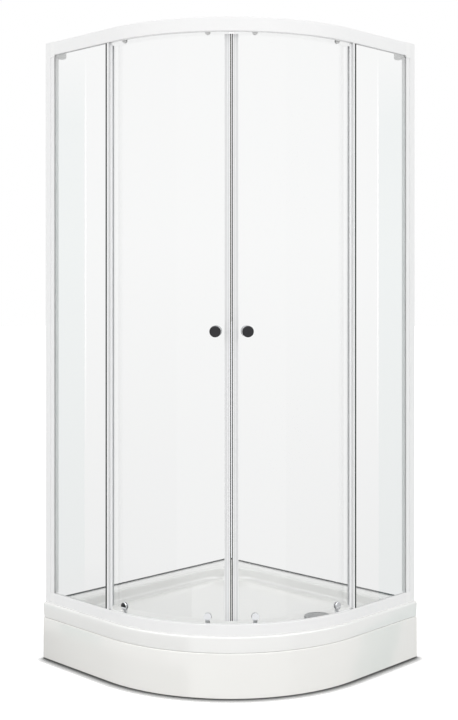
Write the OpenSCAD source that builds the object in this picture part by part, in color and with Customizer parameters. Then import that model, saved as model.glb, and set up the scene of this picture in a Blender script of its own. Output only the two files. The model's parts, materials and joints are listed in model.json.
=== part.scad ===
// Corner shower enclosure with a curved front: a moulded tray with a clip-on
// apron, two flat fixed panes, and two curved glass doors that run on rollers.
// The back corner is at -X +Y, the curved front faces +X -Y, and Z is up.
// Depths into the enclosure, written d, are measured inwards from the tray's edge.

/* [Tray] */
// Side of the square corner that the tray fills
side = 900; // [860:10:960]
// Radius of the curved front at the tray's edge
front_r = 550; // [530:5:570]
// Height of the tray's top edge above the floor
tray_h = 190; // [180:2:210]
// Height of the moulded lip over the apron
lip_h = 50; // [44:1:56]
// Wall of the moulded tray
tray_wall = 5; // [4:0.5:7]
// Width of the flat ledge round the basin
ledge_w = 68; // [66:1:80]
// Depth of the basin below the ledge
basin_depth = 40; // [34:1:42]
// Radius of the basin's back corner
basin_back_r = 150; // [100:5:200]
// Thickness of the apron panel
apron_t = 4; // [3:0.5:6]
// Step from the apron's face back to the lip's lower edge
apron_step = 3; // [1:0.5:4]
// Square section of the support bars
bar_w = 25; // [20:1:26]
// Radius of a levelling foot's pad
foot_r = 26; // [20:1:30]

/* [Waste] */
// Distance of the waste from the wall behind the right pane
waste_from_side = 209; // [200:1:230]
// Distance of the waste from the back wall
waste_from_back = 276; // [260:1:290]
// Diameter of the lift-off waste cover
cover_d = 92; // [84:1:96]
// Outer diameter of the waste outlet
outlet_d = 40; // [32:1:50]
// Length of the outlet that takes the pipe's sleeve
outlet_len = 50; // [30:5:60]

/* [Frame] */
// Height of the glass enclosure above the tray
enclosure_h = 1900; // [1800:10:1950]
// Depth of the rails' outer face behind the tray's edge
rail_inset = 10; // [8:1:12]
// Depth of the rails from front to back
rail_depth = 54; // [54:1:56]
// Height of the top rail
top_rail_h = 45; // [45:1:50]
// Height of the bottom rail
bottom_rail_h = 35; // [34:1:40]
// Wall of the extruded profiles
profile_t = 2; // [1.6:0.1:2.4]
// Reach of the wall profile from the wall
wall_profile_w = 26; // [24:1:30]
// Reach of the frame profile from the wall
frame_profile_w = 44; // [42:1:50]
// Radius of a wall fixing hole
wall_hole_r = 3; // [2.5:0.25:3.5]
// Height of the lowest wall fixing hole above the tray
wall_hole_z = 160; // [120:10:200]
// Spacing of the outer pair of wall fixing holes
wall_hole_span = 1500; // [1400:10:1550]
// Spacing of the inner pair of wall fixing holes
wall_hole_inner = 500; // [400:10:600]

/* [Glass] */
// Thickness of the panes
glass_t = 5; // [4:0.5:5]
// Depth of the fixed panes' centre behind the tray's edge
fixed_d = 17.5; // [16.5:0.25:18.5]
// Distance from a fixed pane's end to the start of the curve
fixed_short = 20; // [16:1:40]
// Depth of the doors' centre behind the tray's edge
door_d = 45; // [45:0.5:46]
// Gap between a door's glass and the seam between the doors
seam_gap = 8; // [7:0.5:12]
// Overlap of a door behind its fixed pane, as an angle before the curve
door_tail_a = 4.7; // [3.5:0.1:6]

/* [Running gear] */
// Angle of the trailing rollers past the start of the curve
roller_a = 2.65; // [2.4:0.05:2.9]
// Angle of the leading rollers past the start of the curve
roller_b = 36.6; // [36:0.1:37]
// Distance of the doors' turning centre behind the centre of the curve
pivot_back = 230; // [228:1:232]
// Distance from the wall to the stop that an open door meets
stop_from_wall = 120; // [110:2:140]
// Radius of an upper roller
top_wheel_r = 11; // [10:0.5:12]
// Radius of a lower roller
low_wheel_r = 9; // [8:0.25:9.5]
// Width of a roller's tread
wheel_w = 7; // [6:0.5:7]
// Radius of a roller's axle
axle_r = 3; // [2.5:0.25:3.5]
// Diameter of a door knob
knob_d = 36; // [32:1:40]
// Height of the knobs above the floor
knob_z = 1123; // [1000:1:1250]
// Angle of a knob past the start of the curve
knob_a = 39.5; // [34:0.5:40]

/* [Hidden] */
$fn = 48;
half = side / 2;
straight = side - front_r;
fixed_end = straight - fixed_short;
arc_x = -half + straight;
arc_y = half - straight;
eps = 0.01;
// Room by which a cut runs past the solid it goes through
over = 1;

// Heights
lip_z = tray_h - lip_h;
basin_z = tray_h - basin_depth;
top_z = tray_h + enclosure_h;
top_rail_z = top_z - top_rail_h;
bottom_rail_z = tray_h + bottom_rail_h;

// Colours as the photo shows them
white_plastic = [0.93, 0.93, 0.92];
white_metal = [0.95, 0.95, 0.95];
grey_metal = [0.6, 0.62, 0.64];
clear_glass = [0.8, 0.92, 0.9, 0.35];
clear_seal = [0.75, 0.77, 0.78, 0.7];
black_plastic = [0.08, 0.08, 0.09];
chrome = [0.8, 0.81, 0.83];

// Points of an arc about c, from angle a0 to a1
function arc(c, r, a0, a1, n) = [
    for (k = [0:n]) c + r * [cos(a0 + (a1 - a0) * k / n), sin(a0 + (a1 - a0) * k / n)]
];

// The right-hand half is the left-hand one in the mirror of the seam
module right_hand() {
    mirror([1, 1, 0]) children();
}

module both_hands() {
    children();
    right_hand() children();
}

// A section of d against height, carried along the straight beside the left wall
module along_left(from, to = straight) {
    translate([-half + from, -half, 0])
        rotate([90, 0, 90])
            linear_extrude(to - from) children();
}

// The same section carried round the curve
module along_curve() {
    translate([arc_x, arc_y, 0])
        rotate([0, 0, -90])
            rotate_extrude(angle = 90, $fn = 96)
                translate([front_r, 0]) mirror([1, 0]) children();
}

module along_front(from) {
    along_left(from) children();
    along_curve() children();
    right_hand() along_left(from) children();
}

// A place on the left door: -Y points outwards, +X towards the seam
module at_curve(a, d) {
    translate([arc_x, arc_y, 0])
        rotate([0, 0, a])
            translate([0, -(front_r - d), 0]) children();
}

module box(x0, x1, y0, y1, z0, z1) {
    translate([x0, y0, z0]) cube([x1 - x0, y1 - y0, z1 - z0]);
}

module rect(x0, x1, y0, y1) {
    translate([x0, y0]) square([x1 - x0, y1 - y0]);
}

// Tray
lip_round = 7;
ledge_t = 6;
skirt_reach = 52;
core_d = 50;
back_ledge = 60;
basin_corner_r = 45;
basin_edge_r = 8;
basin_draft = 12;
basin_cove = 22;
waste_x = half - waste_from_side;
waste_y = half - waste_from_back;
waste_dish_r = 100;
waste_dish = 2.5;
waste_seat_r = 45;
waste_seat_t = 4;
waste_hole_r = 38;

// The tray's corner with its curved front, drawn in from the edge by d
module quadrant(d, z0, z1) {
    box(-half, arc_x, -half + d, half, z0, z1);
    box(arc_x, half - d, arc_y, half, z0, z1);
    translate([arc_x, arc_y, z0])
        rotate([0, 0, -90])
            rotate_extrude(angle = 90, $fn = 96) square([front_r - d, z1 - z0]);
}

module lip_section() {
    polygon(concat(
        [[apron_step, lip_z]],
        arc([lip_round, tray_h - lip_round], lip_round, 180, 90, 5),
        [
            [skirt_reach, tray_h],
            [skirt_reach, tray_h - ledge_t],
            [tray_wall, tray_h - ledge_t],
            [apron_step + tray_wall, lip_z]
        ]
    ));
}

// Section of the basin's wall: distance in from the basin's edge against height
basin_wall_h = basin_depth - (basin_edge_r + basin_cove) * (1 - sin(basin_draft));
basin_floor_in = (basin_edge_r + basin_cove) * cos(basin_draft) + basin_wall_h * tan(basin_draft);

module basin_section(reach) {
    polygon(concat(
        [[reach, tray_h + over], [0, tray_h + over]],
        arc([0, tray_h - basin_edge_r], basin_edge_r, 90, basin_draft, 4),
        arc([basin_floor_in, basin_z + basin_cove], basin_cove, 180 + basin_draft, 270, 5),
        [[reach, basin_z]]
    ));
}

// A rounded corner of the basin about c, a quarter turn from angle a
module basin_corner(c, r, a) {
    translate([c[0], c[1], 0])
        rotate([0, 0, a])
            rotate_extrude(angle = 90, $fn = 96)
                translate([r, 0]) mirror([1, 0]) basin_section(r);
}

// A straight wall of the basin from p, with the basin on its left
module basin_side(p, length, a) {
    translate([p[0], p[1], 0])
        rotate([0, 0, a])
            rotate([90, 0, 90])
                linear_extrude(length) basin_section(basin_corner_r);
}

module basin_cavity() {
    r = basin_corner_r;
    x0 = -half + back_ledge;
    y0 = -half + ledge_w;
    x1 = half - ledge_w;
    y1 = half - back_ledge;
    back = [x0 + basin_back_r, y1 - basin_back_r];
    basin_corner([arc_x, arc_y], front_r - ledge_w, -90);
    basin_corner([x1 - r, y1 - r], r, 0);
    basin_corner(back, basin_back_r, 90);
    basin_corner([x0 + r, y0 + r], r, 180);
    basin_side([x0 + r, y0], arc_x - x0 - r, 0);
    basin_side([x1, arc_y], y1 - r - arc_y, 90);
    basin_side([x1 - r, y1], x1 - r - back[0], 180);
    basin_side([x0, back[1]], back[1] - y0 - r, 270);
    translate([0, 0, basin_z])
        linear_extrude(basin_depth + over)
            polygon([
                [x0 + r, y0 + r], [arc_x, y0 + r], [arc_x, arc_y], [x1 - r, arc_y],
                [x1 - r, y1 - r], [back[0], y1 - r], back, [x0 + r, back[1]]
            ]);
}

// Dish, seat for the waste's flange and hole, cut as one turned shape
module waste_recess() {
    seat_z = basin_z - waste_dish - waste_seat_t;
    translate([waste_x, waste_y, 0])
        rotate_extrude(angle = 360, $fn = 96)
            polygon([
                [0, lip_z - over], [waste_hole_r, lip_z - over], [waste_hole_r, seat_z],
                [waste_seat_r, seat_z], [waste_seat_r, basin_z - waste_dish],
                [waste_dish_r, basin_z], [waste_dish_r, basin_z + over], [0, basin_z + over]
            ]);
}

module tray_shell() {
    color(white_plastic) {
        along_front(0) lip_section();
        difference() {
            quadrant(core_d, lip_z, tray_h);
            basin_cavity();
            // pockets under the ledges along the walls
            both_hands()
                box(-half + tray_wall, -half + core_d, -half + core_d + tray_wall,
                    half - core_d - tray_wall, lip_z - over, tray_h - ledge_t);
            waste_recess();
        }
    }
}

// Apron
apron_gap = 1;
apron_lip = 16;
apron_lip_t = 3;
apron_round = 3;

module front_apron() {
    z1 = lip_z - apron_gap;
    r = apron_round;
    color(white_plastic)
        along_front(0)
            polygon(concat(
                [[0, 0], [apron_lip, 0], [apron_lip, apron_lip_t], [apron_t, apron_lip_t]],
                [[apron_t, z1 - apron_lip_t], [apron_lip, z1 - apron_lip_t], [apron_lip, z1]],
                arc([r, z1 - r], r, 90, 180, 4)
            ));
}

// Spring clips that hang from the tray's underside and hold the apron's top lip
clip_w = 30;
clip_t = 2;
clip_h = 30;
clip_gap = 0.3;
clip_reach = 20;
clip_a = [8, 45, 82];

module apron_clip() {
    d0 = apron_lip + clip_gap;
    d1 = core_d + clip_reach;
    section = [
        [d0, lip_z - apron_gap - clip_h], [d0 + clip_t, lip_z - apron_gap - clip_h],
        [d0 + clip_t, lip_z - clip_t], [d1, lip_z - clip_t], [d1, lip_z], [d0, lip_z]
    ];
    translate([-clip_w / 2, -front_r, 0])
        rotate([90, 0, 90])
            linear_extrude(clip_w) polygon(section);
}

module apron_clips() {
    color(grey_metal)
        for (a = clip_a)
            translate([arc_x, arc_y, 0]) rotate([0, 0, a]) apron_clip();
}

// Support bars and levelling feet
lower_bar_z = lip_z - 2 * bar_w;
row_from_wall = 120;
mid_row = 20;
front_row = 170;
bar_back = half - 60;
bar_inset = core_d + clip_reach + 10;
foot_from_end = 30;

// Where a line across the tray at y meets the front drawn in by d
function front_x(y, d) = y > arc_y ? half - d : arc_x + sqrt(pow(front_r - d, 2) - pow(arc_y - y, 2));

lower_bar_y = [half - row_from_wall, mid_row, -half + front_row];
lower_bar_end = [for (y = lower_bar_y) front_x(y, bar_inset)];
upper_bar_x = [-half + row_from_wall, mid_row, half - 100];
upper_bar_start = [for (x = upper_bar_x) -front_x(-x, bar_inset)];
foot_h = 9;
foot_rim_h = 3;
foot_slope = 8;
foot_floor = 4;
foot_play = 0.2;
bar_hole_play = 0.4;
foot_bolt_r = 5;
foot_bolt_rise = 20;
foot_nut_r = 8.5;
foot_nut_h = 8;
nut_play = 0.05;
foot_xy = [
    for (k = [0:len(lower_bar_y) - 1], x = [-half + row_from_wall, lower_bar_end[k] - foot_from_end])
        [x, lower_bar_y[k]]
];

module support_bars() {
    w = bar_w / 2;
    color(grey_metal) {
        difference() {
            for (k = [0:len(lower_bar_y) - 1])
                box(-bar_back, lower_bar_end[k], lower_bar_y[k] - w, lower_bar_y[k] + w,
                    lower_bar_z, lower_bar_z + bar_w);
            for (p = foot_xy)
                translate([p[0], p[1], lower_bar_z - over])
                    cylinder(h = bar_w + 2 * over, r = foot_bolt_r + bar_hole_play);
        }
        for (k = [0:len(upper_bar_x) - 1])
            box(upper_bar_x[k] - w, upper_bar_x[k] + w, upper_bar_start[k], bar_back,
                lip_z - bar_w, lip_z);
    }
}

module foot_pads() {
    color(black_plastic)
        for (p = foot_xy)
            translate([p[0], p[1], 0])
                rotate_extrude()
                    polygon([
                        [0, 0], [foot_r, 0], [foot_r, foot_rim_h],
                        [foot_r - foot_slope, foot_h], [foot_bolt_r + foot_play, foot_h],
                        [foot_bolt_r + foot_play, foot_floor], [0, foot_floor]
                    ]);
}

module foot_bolts() {
    color(grey_metal)
        for (p = foot_xy)
            translate([p[0], p[1], foot_floor])
                cylinder(h = lower_bar_z + foot_bolt_rise - foot_floor, r = foot_bolt_r);
}

module foot_nuts() {
    color(grey_metal)
        for (p = foot_xy)
            translate([p[0], p[1], lower_bar_z - foot_nut_h])
                difference() {
                    cylinder(h = foot_nut_h, r = foot_nut_r, $fn = 6);
                    translate([0, 0, -over])
                        cylinder(h = foot_nut_h + 2 * over, r = foot_bolt_r + nut_play);
                }
}

// Waste, with a horizontal outlet and a domed cover that lifts off
waste_cup_r = 52;
waste_cup_z = 28;
waste_wall = 3;
outlet_z = 62;
outlet_collar = 8;
outlet_collar_t = 4;
outlet_groove = 2;
outlet_groove_t = 1.5;
waste_ring_z = basin_z - waste_dish - waste_seat_t;
waste_ring_t = 3;
waste_gasket_t = 3;
waste_play = 0.5;
waste_neck = 20;
waste_neck_t = 3;
cover_rise = 7;
cover_crown = 2;
cover_skirt = 3;
cover_gap = 2.5;
cover_play = 0.3;
cover_foot_w = 6;
cover_foot_in = 2;
cover_foot_out = 5;

outlet_from = waste_cup_r + outlet_collar + outlet_groove;
outlet_end = outlet_from + outlet_len;

// Spigot for the pipe's sleeve, behind it a groove for the ring and a collar
module waste_outlet() {
    cylinder(h = waste_cup_r + outlet_collar, r = outlet_d / 2 + outlet_collar_t);
    cylinder(h = outlet_end, r = outlet_d / 2 - outlet_groove_t);
    translate([0, 0, outlet_from]) cylinder(h = outlet_len, r = outlet_d / 2);
}

module waste_body() {
    color(black_plastic)
        translate([waste_x, waste_y, 0])
            difference() {
                union() {
                    translate([0, 0, waste_cup_z])
                        cylinder(h = lip_z - waste_gasket_t - waste_cup_z, r = waste_cup_r);
                    translate([0, 0, outlet_z]) rotate([-90, 0, 0]) waste_outlet();
                }
                translate([0, 0, waste_cup_z + waste_wall])
                    cylinder(h = lip_z, r = waste_cup_r - waste_wall);
                translate([0, 0, outlet_z])
                    rotate([-90, 0, 0]) cylinder(h = outlet_end + over, r = outlet_d / 2 - waste_wall);
            }
}

module waste_gasket() {
    color(black_plastic)
        translate([waste_x, waste_y, lip_z - waste_gasket_t])
            difference() {
                cylinder(h = waste_gasket_t, r = waste_cup_r);
                translate([0, 0, -over])
                    cylinder(h = waste_gasket_t + 2 * over, r = waste_hole_r + waste_play);
            }
}

// Flanged ring that clamps the tray between its flange and the cup
module waste_ring() {
    neck_z = lip_z - waste_neck;
    color(chrome)
        translate([waste_x, waste_y, 0])
            difference() {
                union() {
                    translate([0, 0, waste_ring_z])
                        cylinder(h = waste_ring_t, r = waste_seat_r - waste_play);
                    translate([0, 0, neck_z])
                        cylinder(h = waste_ring_z + waste_ring_t - neck_z, r = waste_hole_r - waste_play);
                }
                translate([0, 0, neck_z - over])
                    cylinder(h = waste_neck + basin_depth, r = waste_hole_r - waste_play - waste_neck_t);
            }
}

module waste_cover() {
    r = cover_d / 2;
    z0 = waste_ring_z + waste_ring_t + cover_play;
    rim = cover_skirt;
    color(grey_metal)
        translate([waste_x, waste_y, z0]) {
            rotate_extrude($fn = 64)
                polygon(concat(
                    [[0, cover_gap], [r - rim, cover_gap]],
                    arc([r - rim, cover_gap + rim], rim, -60, 60, 4),
                    [[r * 0.7, cover_rise + 1], [r * 0.35, cover_rise + 1.8]],
                    [[0, cover_rise + cover_crown]]
                ));
            for (k = [0:2])
                rotate([0, 0, 120 * k + 30])
                    box(waste_hole_r - cover_foot_in, waste_hole_r + cover_foot_out,
                        -cover_foot_w / 2, cover_foot_w / 2, 0, cover_gap + over);
        }
}

// Wall profiles, frame profiles and fixed panes
wall_d0 = rail_inset;
wall_profile_d = 26;
wall_d1 = wall_d0 + wall_profile_d;
wall_d_mid = (wall_d0 + wall_d1) / 2;
fit_gap = 0.2;
slot_gap = 0.4;
slot_d0 = fixed_d - glass_t / 2 - slot_gap;
slot_d1 = fixed_d + glass_t / 2 + slot_gap;
pane_grip = 14;
pane_start = frame_profile_w - pane_grip;
frame_start = 8;
screw_end = 130;
screw_z = [tray_h + screw_end, tray_h + enclosure_h / 2, top_z - screw_end];
screw_r = 2;
screw_play = 0.1;
screw_len = 8;
screw_head_r = 3.8;
screw_head_h = 2;
sink_h = 1.6;
thread_play = 0.05;
screw_x = 17;

module wall_profile() {
    difference() {
        box(-half, -half + wall_profile_w, -half + wall_d0, -half + wall_d1, tray_h, top_z);
        box(-half + profile_t, -half + wall_profile_w + over, -half + wall_d0 + profile_t,
            -half + wall_d1 - profile_t, tray_h - over, top_z + over);
        for (z = [
            wall_hole_z,
            wall_hole_z + (wall_hole_span - wall_hole_inner) / 2,
            wall_hole_z + (wall_hole_span + wall_hole_inner) / 2,
            wall_hole_z + wall_hole_span
        ])
            translate([-half - over, -half + wall_d_mid, tray_h + z])
                rotate([0, 90, 0]) cylinder(h = profile_t + 2 * over, r = wall_hole_r);
        for (z = screw_z)
            translate([-half + screw_x, -half + wall_d1 + over, z])
                rotate([90, 0, 0]) cylinder(h = profile_t + 2 * over, r = screw_r + screw_play);
    }
}

module frame_profile() {
    d0 = wall_d0 + profile_t + fit_gap;
    d1 = wall_d1 - profile_t - fit_gap;
    x0 = -half + frame_start;
    x1 = -half + frame_profile_w;
    difference() {
        box(x0, x1, -half + d0, -half + d1, bottom_rail_z, top_rail_z);
        // slot for the pane
        box(-half + pane_start - slot_gap, x1 + over, -half + slot_d0, -half + slot_d1,
            bottom_rail_z - over, top_rail_z + over);
        // hollow behind the slot, towards the wall
        box(x0 + profile_t, -half + pane_start - 2 * profile_t, -half + d0 + profile_t,
            -half + d1 - profile_t, bottom_rail_z - over, top_rail_z + over);
        // hollow beside the slot
        box(-half + pane_start - profile_t, x1 - profile_t, -half + slot_d1 + profile_t,
            -half + d1 - profile_t, bottom_rail_z - over, top_rail_z + over);
        for (z = screw_z)
            translate([-half + screw_x, -half + d1 + over, z])
                rotate([90, 0, 0]) cylinder(h = profile_t + 2 * over, r = screw_r + screw_play);
    }
}

module wall_profile_left() {
    color(white_metal) wall_profile();
}

module wall_profile_right() {
    color(white_metal) right_hand() wall_profile();
}

module frame_profile_left() {
    color(white_metal) frame_profile();
}

module frame_profile_right() {
    color(white_metal) right_hand() frame_profile();
}

module frame_screw(z) {
    translate([-half + screw_x, -half + wall_d1, z])
        rotate([90, 0, 0]) {
            cylinder(h = screw_len, r = screw_r);
            translate([0, 0, -screw_head_h]) cylinder(h = screw_head_h, r = screw_head_r);
        }
}

module frame_screws() {
    color(chrome) both_hands() for (z = screw_z) frame_screw(z);
}

cap_r = 6;
cap_t = 4;
cap_slope = 1.5;
cap_floor = 1.8;
cap_play = 0.15;

module screw_cap(z) {
    translate([-half + screw_x, -half + wall_d1, z])
        rotate([-90, 0, 0])
            difference() {
                cylinder(h = cap_t, r1 = cap_r, r2 = cap_r - cap_slope);
                translate([0, 0, -over])
                    cylinder(h = cap_t - cap_floor + over, r = screw_head_r + cap_play);
            }
}

module screw_caps() {
    color(white_plastic) both_hands() for (z = screw_z) screw_cap(z);
}

pane_seat = 3;
pane_head_room = 14;
pane_z0 = tray_h + profile_t + pane_seat;
pane_z1 = top_z - profile_t - pane_head_room;

module fixed_glass() {
    box(-half + pane_start, -half + fixed_end, -half + fixed_d - glass_t / 2,
        -half + fixed_d + glass_t / 2, pane_z0, pane_z1);
}

module fixed_glass_left() {
    color(clear_glass) fixed_glass();
}

module fixed_glass_right() {
    color(clear_glass) right_hand() fixed_glass();
}

// Clear seal pushed over the free edge of a fixed pane
seal_t = 1.2;
seal_gap = 0.3;
seal_leg = 15;
seal_end_gap = 0.5;
fixed_fin = 5;
fixed_fin_reach = 6;
fixed_fin_t = 1;

module fixed_seal() {
    x1 = fixed_end;
    a = fixed_d - glass_t / 2 - seal_gap;
    b = fixed_d + glass_t / 2 + seal_gap;
    translate([-half, -half, bottom_rail_z + seal_end_gap])
        linear_extrude(top_rail_z - bottom_rail_z - 2 * seal_end_gap)
            polygon([
                [x1 - seal_leg, a - seal_t], [x1 + seal_gap + seal_t, a - seal_t],
                [x1 + seal_gap + seal_t, b],
                [x1 + fixed_fin_reach, b + fixed_fin - fixed_fin_t],
                [x1 + fixed_fin_reach - fixed_fin_t, b + fixed_fin],
                [x1 - fixed_fin_reach / 2, b + seal_t], [x1 - seal_leg, b + seal_t],
                [x1 - seal_leg, b], [x1 + seal_gap, b], [x1 + seal_gap, a], [x1 - seal_leg, a]
            ]);
}

module fixed_seal_left() {
    color(clear_seal) fixed_seal();
}

module fixed_seal_right() {
    color(clear_seal) right_hand() fixed_seal();
}

// Rails, open towards the inside so that the doors can pass behind the panes
rail_d1 = rail_inset + rail_depth;
rail_start = frame_profile_w + 4;
rail_round = 3;
rail_hem = 8;
rail_floor = profile_t + 0.5;
rail_foot = 2;
web_t = 2;
bottom_lip_h = 12;

module top_rail_section() {
    z0 = top_rail_z;
    z1 = top_z;
    r = rail_round;
    difference() {
        polygon(concat(
            arc([rail_inset + r, z0 + r], r, 270, 180, 4),
            arc([rail_inset + r, z1 - r], r, 180, 90, 4),
            arc([rail_d1 - r, z1 - r], r, 90, 0, 4),
            [
                [rail_d1, z1 - rail_hem], [rail_d1 - profile_t, z1 - rail_hem],
                [rail_d1 - profile_t, z1 - rail_floor], [slot_d1 + web_t, z1 - rail_floor],
                [slot_d1 + web_t, z0 + profile_t],
                [slot_d1 + web_t + rail_foot, z0 + profile_t],
                [slot_d1 + web_t + rail_foot, z0]
            ]
        ));
        // slot for the fixed pane
        rect(slot_d0, slot_d1, z0 - over, z1 - rail_floor);
        // chamber in front of the slot
        rect(rail_inset + profile_t, slot_d0 + eps, z0 + profile_t, z1 - rail_floor);
    }
}

module bottom_rail_section() {
    z0 = tray_h;
    z1 = bottom_rail_z;
    r = rail_round;
    difference() {
        polygon(concat(
            [[rail_inset, z0]],
            arc([rail_inset + r, z1 - r], r, 180, 90, 4),
            [
                [slot_d1 + web_t, z1], [slot_d1 + web_t, z0 + profile_t],
                [rail_d1 - profile_t, z0 + profile_t],
                [rail_d1 - profile_t, z0 + bottom_lip_h],
                [rail_d1, z0 + bottom_lip_h], [rail_d1, z0]
            ]
        ));
        rect(slot_d0, slot_d1, z0 + profile_t, z1 + over);
        rect(rail_inset + profile_t, slot_d0 + eps, z0 + profile_t, z1 - profile_t);
    }
}

module top_rail() {
    color(white_metal)
        difference() {
            along_front(rail_start) top_rail_section();
            both_hands()
                translate([connector_screw_x, connector_screw_y, 0]) {
                    translate([0, 0, top_z - rail_floor - over])
                        cylinder(h = rail_floor + 2 * over, r = screw_r + screw_play);
                    translate([0, 0, top_z - sink_h])
                        cylinder(h = sink_h + eps, r1 = screw_r + screw_play,
                            r2 = screw_head_r + screw_play);
                }
        }
}

module bottom_rail() {
    color(white_metal)
        along_front(rail_start) bottom_rail_section();
}

// Moulded blocks that join the frame profiles to the rails
low_head_slope = 1.4;
connector_tongue = 22;
connector_gap = 0.3;
connector_round = 8;
tongue_t = 7;
tongue_d0 = slot_d1 + web_t + connector_gap;
tongue_d1 = rail_d1 - profile_t - connector_gap;
connector_screw_x = -half + rail_start + connector_tongue / 2;
connector_screw_y = -half + 40;
connector_drop = 7;

module connector_outline() {
    z0 = top_rail_z;
    x0 = wall_profile_w + connector_gap;
    x1 = rail_start;
    r = connector_round;
    polygon(concat(
        [[x0, top_z]],
        [[x0, z0 - connector_drop]],
        arc([x1 - r, z0 - connector_drop + r], r, -90, 0, 6),
        [[x1, top_z]]
    ));
}

module top_connector() {
    tz = top_z - rail_floor;
    difference() {
        union() {
            // outer block, drawn in side view and carried across the rail's depth
            translate([-half, -half + rail_d1, 0])
                rotate([90, 0, 0]) linear_extrude(rail_depth) connector_outline();
            box(-half + rail_start - over, -half + rail_start + connector_tongue,
                -half + tongue_d0, -half + tongue_d1, tz - tongue_t, tz);
        }
        // room for the frame profile below and the pane
        box(-half, -half + frame_profile_w + fit_gap, -half + wall_d0 + profile_t,
            -half + wall_d1 - profile_t, top_rail_z - connector_drop - over, top_rail_z + fit_gap);
        box(-half + pane_start - slot_gap, -half + rail_start + over, -half + slot_d0,
            -half + slot_d1, top_rail_z - connector_drop - over, pane_z1 + slot_gap);
        translate([connector_screw_x, connector_screw_y, tz - tongue_t - over])
            cylinder(h = tongue_t + 2 * over, r = screw_r + thread_play);
    }
}

module bottom_connector() {
    z1 = bottom_rail_z;
    tz = tray_h + profile_t;
    difference() {
        union() {
            box(-half + wall_profile_w + connector_gap, -half + rail_start, -half + rail_inset,
                -half + slot_d1 + web_t + rail_foot, tray_h, z1);
            box(-half + wall_profile_w + connector_gap, -half + rail_start, -half + rail_inset,
                -half + rail_d1, tray_h, tray_h + bottom_lip_h);
            box(-half + rail_start - over, -half + rail_start + connector_tongue,
                -half + tongue_d0, -half + tongue_d1, tz, tz + tongue_t);
        }
        box(-half + pane_start - slot_gap, -half + rail_start + over, -half + slot_d0,
            -half + slot_d1, pane_z0 - slot_gap, z1 + over);
        translate([connector_screw_x, connector_screw_y, tz - over])
            cylinder(h = tongue_t + 2 * over, r = screw_r + thread_play);
    }
}

module corner_connectors() {
    color(white_plastic)
        both_hands() {
            top_connector();
            bottom_connector();
        }
}

module connector_screws() {
    tz = top_z - rail_floor;
    color(chrome)
        both_hands() {
            translate([connector_screw_x, connector_screw_y, tz - tongue_t])
                cylinder(h = top_z - tz + tongue_t - sink_h, r = screw_r);
            translate([connector_screw_x, connector_screw_y, top_z - sink_h])
                cylinder(h = sink_h, r1 = screw_r, r2 = screw_head_r);
            translate([connector_screw_x, connector_screw_y, tray_h + profile_t])
                cylinder(h = tongue_t, r = screw_r);
            translate([connector_screw_x, connector_screw_y, tray_h + profile_t + tongue_t])
                cylinder(h = sink_h, r1 = screw_head_r, r2 = screw_head_r - low_head_slope);
        }
}

// Strips that close the pane slot between the fixed panes
infill_h = 4;
infill_gap = 0.2;
infill_from = fixed_end + 12;

module rail_infill() {
    color(white_plastic)
        for (z = [bottom_rail_z - infill_h, top_rail_z])
            along_front(infill_from)
                rect(slot_d0 + infill_gap, slot_d1 - infill_gap, z, z + infill_h);
}

// Running tracks, each one arc about the door's turning centre
// The turning centre lies on the line midway between the two rollers, and a door
// opens by about 19 degrees until its trailing roller meets the stop
mid_a = (roller_a + roller_b) / 2;
pivot_x = arc_x - pivot_back * sin(mid_a);
pivot_y = arc_y + pivot_back * cos(mid_a);
door_r = front_r - door_d;
roller_dx = door_r * sin(roller_a) - (pivot_x - arc_x);
roller_dy = -door_r * cos(roller_a) - (pivot_y - arc_y);
track_r = norm([roller_dx, roller_dy]);
tail_a = atan2(roller_dx, -roller_dy);
lead_a = 2 * mid_a - tail_a;
wheel_out = 8;
groove = 1.5;
bead = 1.6;
run_gap = 0.3;
ledge_in = 3.5;
ledge_out = 15.5;
track_t = 2;
wheel_head_room = 3;
track_z = top_z - profile_t - wheel_head_room - 2 * top_wheel_r - track_t;
track_top_z = track_z + track_t;
top_axle_z = track_top_z + bead + run_gap + top_wheel_r - groove;
low_track_z = tray_h + profile_t;
low_axle_z = low_track_z + track_t + bead + run_gap + low_wheel_r - groove;
stop_len = 9;
stop_play = 0.1;
stop_lift = 0.2;
stop_rise = 4;
stop_a = asin((-half + stop_from_wall - pivot_x) / track_r);
track_from = stop_a - arc_angle(15);
track_to = lead_a + arc_angle(20);

// Angle of a length along the track
function arc_angle(length) = length / track_r * 180 / PI;

// A section of distance outwards from the track's line against height
module along_track(a0, a1) {
    translate([pivot_x, pivot_y, 0])
        rotate([0, 0, a0 - 90])
            rotate_extrude(angle = a1 - a0, $fn = 180)
                translate([track_r, 0]) children();
}

module ledge_section(z, out) {
    polygon([
        [ledge_in, z], [out, z], [out, z + track_t], [wheel_out + bead, z + track_t],
        [wheel_out, z + track_t + bead], [wheel_out - bead, z + track_t],
        [ledge_in, z + track_t]
    ]);
}

module upper_track() {
    along_track(track_from, track_to) {
        ledge_section(track_z, ledge_out);
        rect(ledge_out - track_t, ledge_out, track_z, top_z - rail_floor);
    }
}

module lower_track() {
    along_track(track_from, track_to) ledge_section(low_track_z, ledge_out - track_t);
}

module upper_track_left() {
    color(grey_metal) upper_track();
}

module upper_track_right() {
    color(grey_metal) right_hand() upper_track();
}

module lower_track_left() {
    color(grey_metal) lower_track();
}

module lower_track_right() {
    color(grey_metal) right_hand() lower_track();
}

module door_stops() {
    color(black_plastic)
        both_hands()
            along_track(stop_a - arc_angle(stop_len), stop_a)
                rect(wheel_out - stop_rise, ledge_out - track_t - stop_play,
                    track_top_z + bead + stop_lift, top_axle_z + stop_rise);
}

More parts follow.
